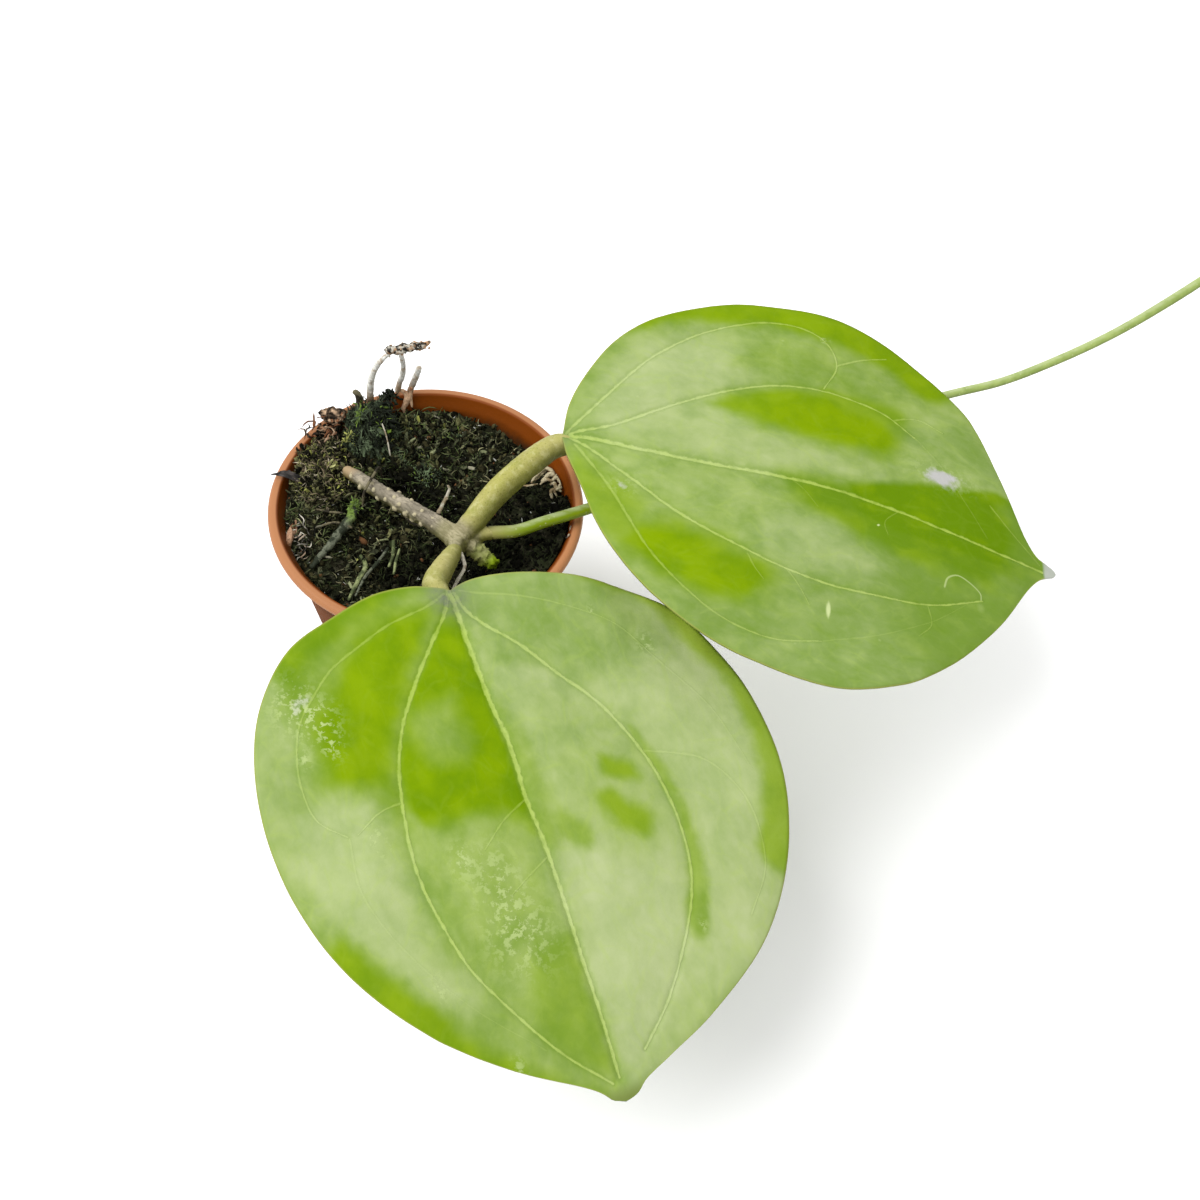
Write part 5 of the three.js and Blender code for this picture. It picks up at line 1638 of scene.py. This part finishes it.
def build_loose_bits(settings):
    random = np.random.default_rng(settings.seed + 3)
    chip = root_material("bark_chip")
    bits = tone_material("bridge_bits", (0.006, 0.005, 0.003), (0.46, 0.43, 0.36), 0.85, 0.1,
                         (0.32, 0.19, 0.1))
    warm = tone_material("warm_bits", (0.006, 0.004, 0.002), (0.44, 0.3, 0.19), 0.85, 0.1, (0.2, 0.08, 0.035))
    dry = tone_material("dry_leaf", (0.004, 0.0035, 0.003), (0.06, 0.05, 0.045), 0.6, 0.2)

    bm = bmesh.new()
    spine = [(-15.2, 32.2, 106.9), (-12, 32.6, 107.4), (-8, 33.4, 108.1), (-4.4, 34.3, 108.4),
             (-2.4, 35.4, 109.2)]
    add_tube(bm, spine, [1.0, 1.35, 1.3, 1.2, 0.4], 24, 0.2, 0.4, 41.0)
    close_up(bm)
    piece = to_piece(bm, "crumb_bridge_core", [bits], ["crumb_bridge"])
    points = mesh_points(piece.data) / MM
    set_attribute(piece.data, "tone", rounded(0.42 + 1.7 * lumps(points, 1.2, 3)))
    set_attribute(piece.data, "tint", rounded(2.4 * lumps(points, 1.5, 2, 4.0)))
    count = 120
    path = smooth_path(spine, 60)[0]
    places = path[random.integers(2, 54, count)] + random.normal(0, 0.55, (count, 3))
    sizes = random.uniform(0.5, 1.2, (count, 3))
    tints = (random.uniform(0, 1, count) < 0.4) * 0.9
    scatter("crumb_bridge_bits", "crumb", places, lying_ways(random, count, 1), sizes,
            random.choice([0.0, 0.1, 0.6, 1.0], count), [bits], random, tints)

    bm = bmesh.new()
    add_lump(bm, (-31.5, 28.4, 82), (3.6, 2.6, 1.8), 0.4, 77.0, 4)
    piece = to_piece(bm, "rim_crumb_core", [warm], ["rim_crumb"])
    set_attribute(piece.data, "tone", rounded(0.2 + 1.2 * lumps(mesh_points(piece.data) / MM, 1.6, 3)))
    count = 170
    angle = random.uniform(0, 2 * math.pi, count)
    out = np.c_[np.cos(angle), np.sin(angle), random.uniform(0.1, 0.9, count)]
    places = np.array((-31.2, 27.6, 81.7)) + out * (3.3, 2.5, 1.7) * random.uniform(0.3, 1.0, (count, 1))
    ways = lying_ways(random, count, 0.8)
    scatter("rim_crumb_bits", "crumb", places, ways, random.uniform(0.6, 1.7, (count, 3)),
            random.beta(0.9, 1.4, count), [warm], random,
            (random.uniform(0, 1, count) < 0.3) * 0.8)

    bm = bmesh.new()
    add_lump(bm, (-37.2, -13.6, 76.2), (1.1, 4.2, 1.6), 0.3, 21.0, 4)
    to_piece(bm, "bark_chip", [chip], ["bark_chip_left"])
    count = 34
    places = on_mix(random, (-34.2, -13.5), (1.8, 3.2), count, settings, (0.4, 1.8))
    sizes = np.c_[random.uniform(2, 4.5, count), random.uniform(2.5, 6, (count, 2))]
    scatter("curled_husks", "fibre", keep_in_pot(places, 38.8), lying_ways(random, count, 0.9), sizes,
            random.choice([0.1, 0.5, 1.0], count), [bits], random,
            (random.uniform(0, 1, count) < 0.4) * 0.5)
    count = 60
    places = np.array((-32.5, 23.5, 80.8)) + random.normal(0, 1, (count, 3)) * (2.6, 2.6, 0.8)
    sizes = np.c_[random.uniform(2.5, 5.5, count), random.uniform(4, 9, (count, 2))]
    scatter("dead_curls", "fibre", keep_in_pot(places, 39), lying_ways(random, count, 0.9), sizes,
            random.choice([0.0, 0.05, 0.25, 0.7], count), [warm], random,
            (random.uniform(0, 1, count) < 0.3) * 0.6)

    bm = bmesh.new()
    add_lump(bm, (0, 0, 0), (4.6, 1.5, 0.4), 0.28, 33.0, 4)
    points = points_of(bm)
    along = (points[:, 0] + 4.6) / 9.2
    points[:, 1] *= 0.35 + 0.65 * rounded(along * 1.6)
    points[:, 2] += 0.9 * np.sin(3.4 * along) - 2.2 * along ** 2 + 0.25 * points[:, 1] ** 2
    put_points(bm.verts, points + (-40.5, 4.3, 81.5))
    piece = to_piece(bm, "leaf_fragment_flake", [dry], ["leaf_fragment"])
    set_attribute(piece.data, "tone", rounded(0.3 + 1.1 * lumps(mesh_points(piece.data) / MM, 1.6, 3)))

    places = np.repeat(np.array(RESIDUE), 3, axis=0)
    places = places + random.normal(0, 0.4, places.shape)
    count = len(places)
    ways = np.c_[-places[:, 1], places[:, 0], 12 * random.normal(0, 1, count)]
    scatter("rim_residue", "crumb", places, ways, random.uniform(0.7, 1.6, (count, 3)) * (1.3, 0.8, 0.8),
            random.uniform(0.7, 1, count), [bits], random,
            0.6 * random.uniform(0, 1, count) ** 2)


# Stage

def camera_turn(pitch, roll):
    """The camera's axes: right, up and back, looking along +Y, down by pitch and turned by roll."""
    ahead = Vector((0, math.cos(pitch), -math.sin(pitch)))
    level = Vector((1, 0, 0))
    above = level.cross(ahead)
    right = math.cos(roll) * level + math.sin(roll) * above
    up = math.cos(roll) * above - math.sin(roll) * level
    return Matrix((right, up, -ahead)).transposed()


def build_stage(settings):
    scene = bpy.context.scene
    camera = bpy.data.cameras.new("camera")
    camera.lens = settings.lens
    camera.sensor_width = 36
    camera.clip_start = 0.01
    holder = bpy.data.objects.new("camera", camera)
    turn = camera_turn(settings.camera_pitch, settings.camera_roll).to_4x4()
    holder.matrix_world = Matrix.Translation(settings.camera_place) @ turn
    link(holder)
    scene.camera = holder

    bm = bmesh.new()
    bmesh.ops.create_grid(bm, x_segments=1, y_segments=1, size=3)
    mesh = bpy.data.meshes.new("floor")
    bm.to_mesh(mesh)
    bm.free()
    floor = bpy.data.objects.new("floor", mesh)
    material, n = new_material("floor", (0.9, 0.9, 0.9))
    n.surface((0.9, 0.9, 0.9), 0.9, Specular_IOR_Level=0.0)
    mesh.materials.append(material)
    link(floor)

    for name, place, size, power in (
        ("key_light", settings.key_place, 0.9, settings.key_power),
        ("back_light", (0.3, 1.1, 1.0), 0.8, settings.back_power),
    ):
        light = bpy.data.lights.new(name, "AREA")
        light.shape = "DISK"
        light.size = size
        light.energy = power
        lamp = bpy.data.objects.new(name, light)
        aim = (Vector((0.08, 0, 0.05)) - Vector(place)).to_track_quat("-Z", "Y")
        lamp.matrix_world = Matrix.Translation(place) @ aim.to_matrix().to_4x4()
        link(lamp)

    world = bpy.data.worlds.new("studio")
    world.use_nodes = True
    background = world.node_tree.nodes["Background"]
    background.inputs["Color"].default_value = (1, 1, 1, 1)
    background.inputs["Strength"].default_value = settings.sky
    scene.world = world
    scene.view_settings.view_transform = "Standard"


# Add-on

def metres(name, description, default):
    return FloatProperty(name=name, description=description, unit="LENGTH", default=default)


def tint(name, description, default):
    return FloatVectorProperty(name=name, description=description, subtype="COLOR", default=default)


def amount(name, description, default):
    return IntProperty(name=name, description=description, default=default)


class HoyaPot(bpy.types.PropertyGroup):
    rim_radius: metres("Rim radius", "Outer radius of the lip", 0.045)
    height: metres("Height", "Height of the pot", POT_CORNER.z)
    base_radius: metres("Base radius", "Outer radius of the floor", 0.0285)
    wall: metres("Wall", "Thickness of the wall", 0.001)
    holes: IntProperty(name="Holes", description="Number of drainage holes", default=6, min=1)
    hole_radius: metres("Hole radius", "Radius of a drainage hole", 0.003)
    sides: IntProperty(name="Sides", description="Steps round the pot", default=144, min=24)
    # Painted shade: the outside's colour is kept darker than the lip's plastic, to stand in for the shade on
    # the wall.
    shaded_wall_colour: tint("Wall colour", "Colour of the outside", (0.115, 0.046, 0.023))
    lip_colour: tint("Lip colour", "Colour of the lip", (0.31, 0.136, 0.06))
    # Painted shade: the inside's colour is kept darker than the lip's plastic, to stand in for the shade
    # inside the pot.
    shaded_inner_colour: tint("Inner colour", "Colour of the inside", (0.132, 0.03, 0.002))


class HoyaMix(bpy.types.PropertyGroup):
    level: metres("Level", "Height of the mix away from its mounds", 0.07)
    crumbs: amount("Crumbs", "Number of crumbs on the mix", 2600)
    fibres: amount("Fibres", "Number of fibres on the mix", 2000)
    flecks: amount("Flecks", "Number of white flecks on the mix", 110)
    flakes: amount("Flakes", "Number of flakes on the mix", 1900)
    leaflets: amount("Leaflets", "Leaflets of each kind on the mossy mound", 1100)
    seed: amount("Seed", "Start of the random placing", 7)
    colour: tint("Colour", "Colour of the damp mix", (0.012, 0.0105, 0.0055))
    moss_film_colour: tint("Film colour", "Colour of the green film on the mix", (0.018, 0.022, 0.009))


class HoyaPlant(bpy.types.PropertyGroup):
    leaf_thickness: metres("Leaf thickness", "Thickness of a blade", 0.0015)
    puff: metres("Puff", "How far a blade rises between its veins", 0.0007)
    leaf_columns: amount("Columns", "Steps along a blade", 230)
    leaf_rows: amount("Rows", "Steps across a blade", 150)
    voxel: metres("Voxel", "Cell size where the limbs are fused", 0.0003)
    smoothing: amount("Smoothing", "Smoothing rounds after the limbs are fused", 6)
    leaf_colour: tint("Leaf", "Middle green of a blade", (0.145, 0.231, 0.0005))
    leaf_deep_colour: tint("Leaf, deep", "Deepest green of a blade", (0.089, 0.17, 0.002))
    leaf_pale_colour: tint("Leaf, pale", "Palest green of a blade", (0.32, 0.365, 0.19))
    leaf_back_colour: tint("Leaf, back", "Green of the underside", (0.17, 0.225, 0.08))
    vein_colour: tint("Veins", "Colour of the veins", (0.27, 0.36, 0.06))
    bark_colour: tint("Bark", "Colour of the woody stem", (0.16, 0.137, 0.086))
    petiole_colour: tint("Petioles", "Colour of the petioles", (0.15, 0.145, 0.024))
    petiole_pale_colour: tint("Petioles, pale", "Tan end of the petioles", (0.235, 0.21, 0.07))
    shoot_colour: tint("Shoot", "Green of the shoot near the stem", (0.164, 0.226, 0.003))
    shoot_far_colour: tint("Shoot, far", "Green of the shoot's far part", (0.27, 0.345, 0.1))


class HoyaStage(bpy.types.PropertyGroup):
    lens: FloatProperty(name="Lens", description="Focal length in millimetres", default=50)
    camera_place: FloatVectorProperty(name="Camera", description="Place of the camera", subtype="TRANSLATION",
                                      unit="LENGTH", default=(0.0517586, -0.2995218, 0.4512919))
    camera_pitch: FloatProperty(name="Pitch", description="How far the camera looks down", subtype="ANGLE",
                                default=math.radians(53.927))
    camera_roll: FloatProperty(name="Roll", description="Turn of the camera about its axis", subtype="ANGLE",
                               default=math.radians(4.859))
    key_place: FloatVectorProperty(name="Key light", description="Place of the key light",
                                   subtype="TRANSLATION", unit="LENGTH", default=(-0.55, -0.25, 1.1))
    key_power: FloatProperty(name="Key power", description="Power of the key light", subtype="POWER",
                             default=15)
    back_power: FloatProperty(name="Back power", description="Power of the back light", subtype="POWER",
                              default=3.75)
    sky: FloatProperty(name="Sky", description="Strength of the even light from all sides", default=1.07)


class HOYA_OT_pot(bpy.types.Operator):
    """Build the nursery pot with its lip and drainage holes"""

    bl_idname = "hoya.build_pot"
    bl_label = "Pot"

    def execute(self, context):
        build_pot(context.scene.hoya_pot)
        return {"FINISHED"}


class HOYA_OT_mix(bpy.types.Operator):
    """Build the growing mix with its crumbs and fibres"""

    bl_idname = "hoya.build_mix"
    bl_label = "Growing Mix"

    def execute(self, context):
        build_mix(context.scene.hoya_mix, context.scene.hoya_pot)
        build_mix_surface(context.scene.hoya_mix)
        return {"FINISHED"}


class HOYA_OT_moss(bpy.types.Operator):
    """Build the moss clumps and the moss on the mound"""

    bl_idname = "hoya.build_moss"
    bl_label = "Moss"

    def execute(self, context):
        build_moss(context.scene.hoya_mix)
        return {"FINISHED"}


class HOYA_OT_stem(bpy.types.Operator):
    """Build the woody stem, both petioles and the side bud as one grown piece"""

    bl_idname = "hoya.build_stem"
    bl_label = "Stem"

    def execute(self, context):
        build_stem(context.scene.hoya_plant)
        return {"FINISHED"}


class HOYA_OT_shoot(bpy.types.Operator):
    """Build the long climbing shoot"""

    bl_idname = "hoya.build_shoot"
    bl_label = "Climbing Shoot"

    def execute(self, context):
        build_vine(context.scene.hoya_plant)
        return {"FINISHED"}


class HOYA_OT_leaves(bpy.types.Operator):
    """Build both leaves with their veins"""

    bl_idname = "hoya.build_leaves"
    bl_label = "Leaves"

    def execute(self, context):
        for name in LEAVES:
            build_leaf(name, context.scene.hoya_plant)
        return {"FINISHED"}


class HOYA_OT_roots(bpy.types.Operator):
    """Build the aerial, surface and dried roots"""

    bl_idname = "hoya.build_roots"
    bl_label = "Roots"

    def execute(self, context):
        build_roots()
        return {"FINISHED"}


class HOYA_OT_bits(bpy.types.Operator):
    """Build the crumbs, chips and dry leaf bits"""

    bl_idname = "hoya.build_bits"
    bl_label = "Loose Bits"

    def execute(self, context):
        build_loose_bits(context.scene.hoya_mix)
        return {"FINISHED"}


class HOYA_OT_stage(bpy.types.Operator):
    """Set up the camera, the floor and the lights"""

    bl_idname = "hoya.build_stage"
    bl_label = "Stage"

    def execute(self, context):
        build_stage(context.scene.hoya_stage)
        return {"FINISHED"}


GROUPS = {"hoya_pot": HoyaPot, "hoya_mix": HoyaMix, "hoya_plant": HoyaPlant, "hoya_stage": HoyaStage}
OPERATORS = (
    HOYA_OT_stage, HOYA_OT_pot, HOYA_OT_mix, HOYA_OT_moss, HOYA_OT_stem, HOYA_OT_shoot, HOYA_OT_leaves,
    HOYA_OT_roots, HOYA_OT_bits,
)


class HOYA_PT_panel(bpy.types.Panel):
    """Lists the pieces of the potted hoya"""

    bl_idname = "HOYA_PT_panel"
    bl_label = "Potted Hoya"
    bl_space_type = "VIEW_3D"
    bl_region_type = "UI"
    bl_category = "Potted Hoya"

    def draw(self, context):
        for operator in OPERATORS:
            self.layout.operator(operator.bl_idname)
        for name, group in GROUPS.items():
            box = self.layout.box()
            for key in group.__annotations__:
                box.prop(getattr(context.scene, name), key)


def register():
    for name, group in GROUPS.items():
        bpy.utils.register_class(group)
        setattr(bpy.types.Scene, name, PointerProperty(type=group))
    for operator in OPERATORS:
        bpy.utils.register_class(operator)
    bpy.utils.register_class(HOYA_PT_panel)


def unregister():
    bpy.utils.unregister_class(HOYA_PT_panel)
    for operator in reversed(OPERATORS):
        bpy.utils.unregister_class(operator)
    for name, group in reversed(GROUPS.items()):
        delattr(bpy.types.Scene, name)
        bpy.utils.unregister_class(group)


def main():
    register()
    for operator in OPERATORS:
        area, name = operator.bl_idname.split(".")
        getattr(getattr(bpy.ops, area), name)()


if __name__ == "__main__":
    main()
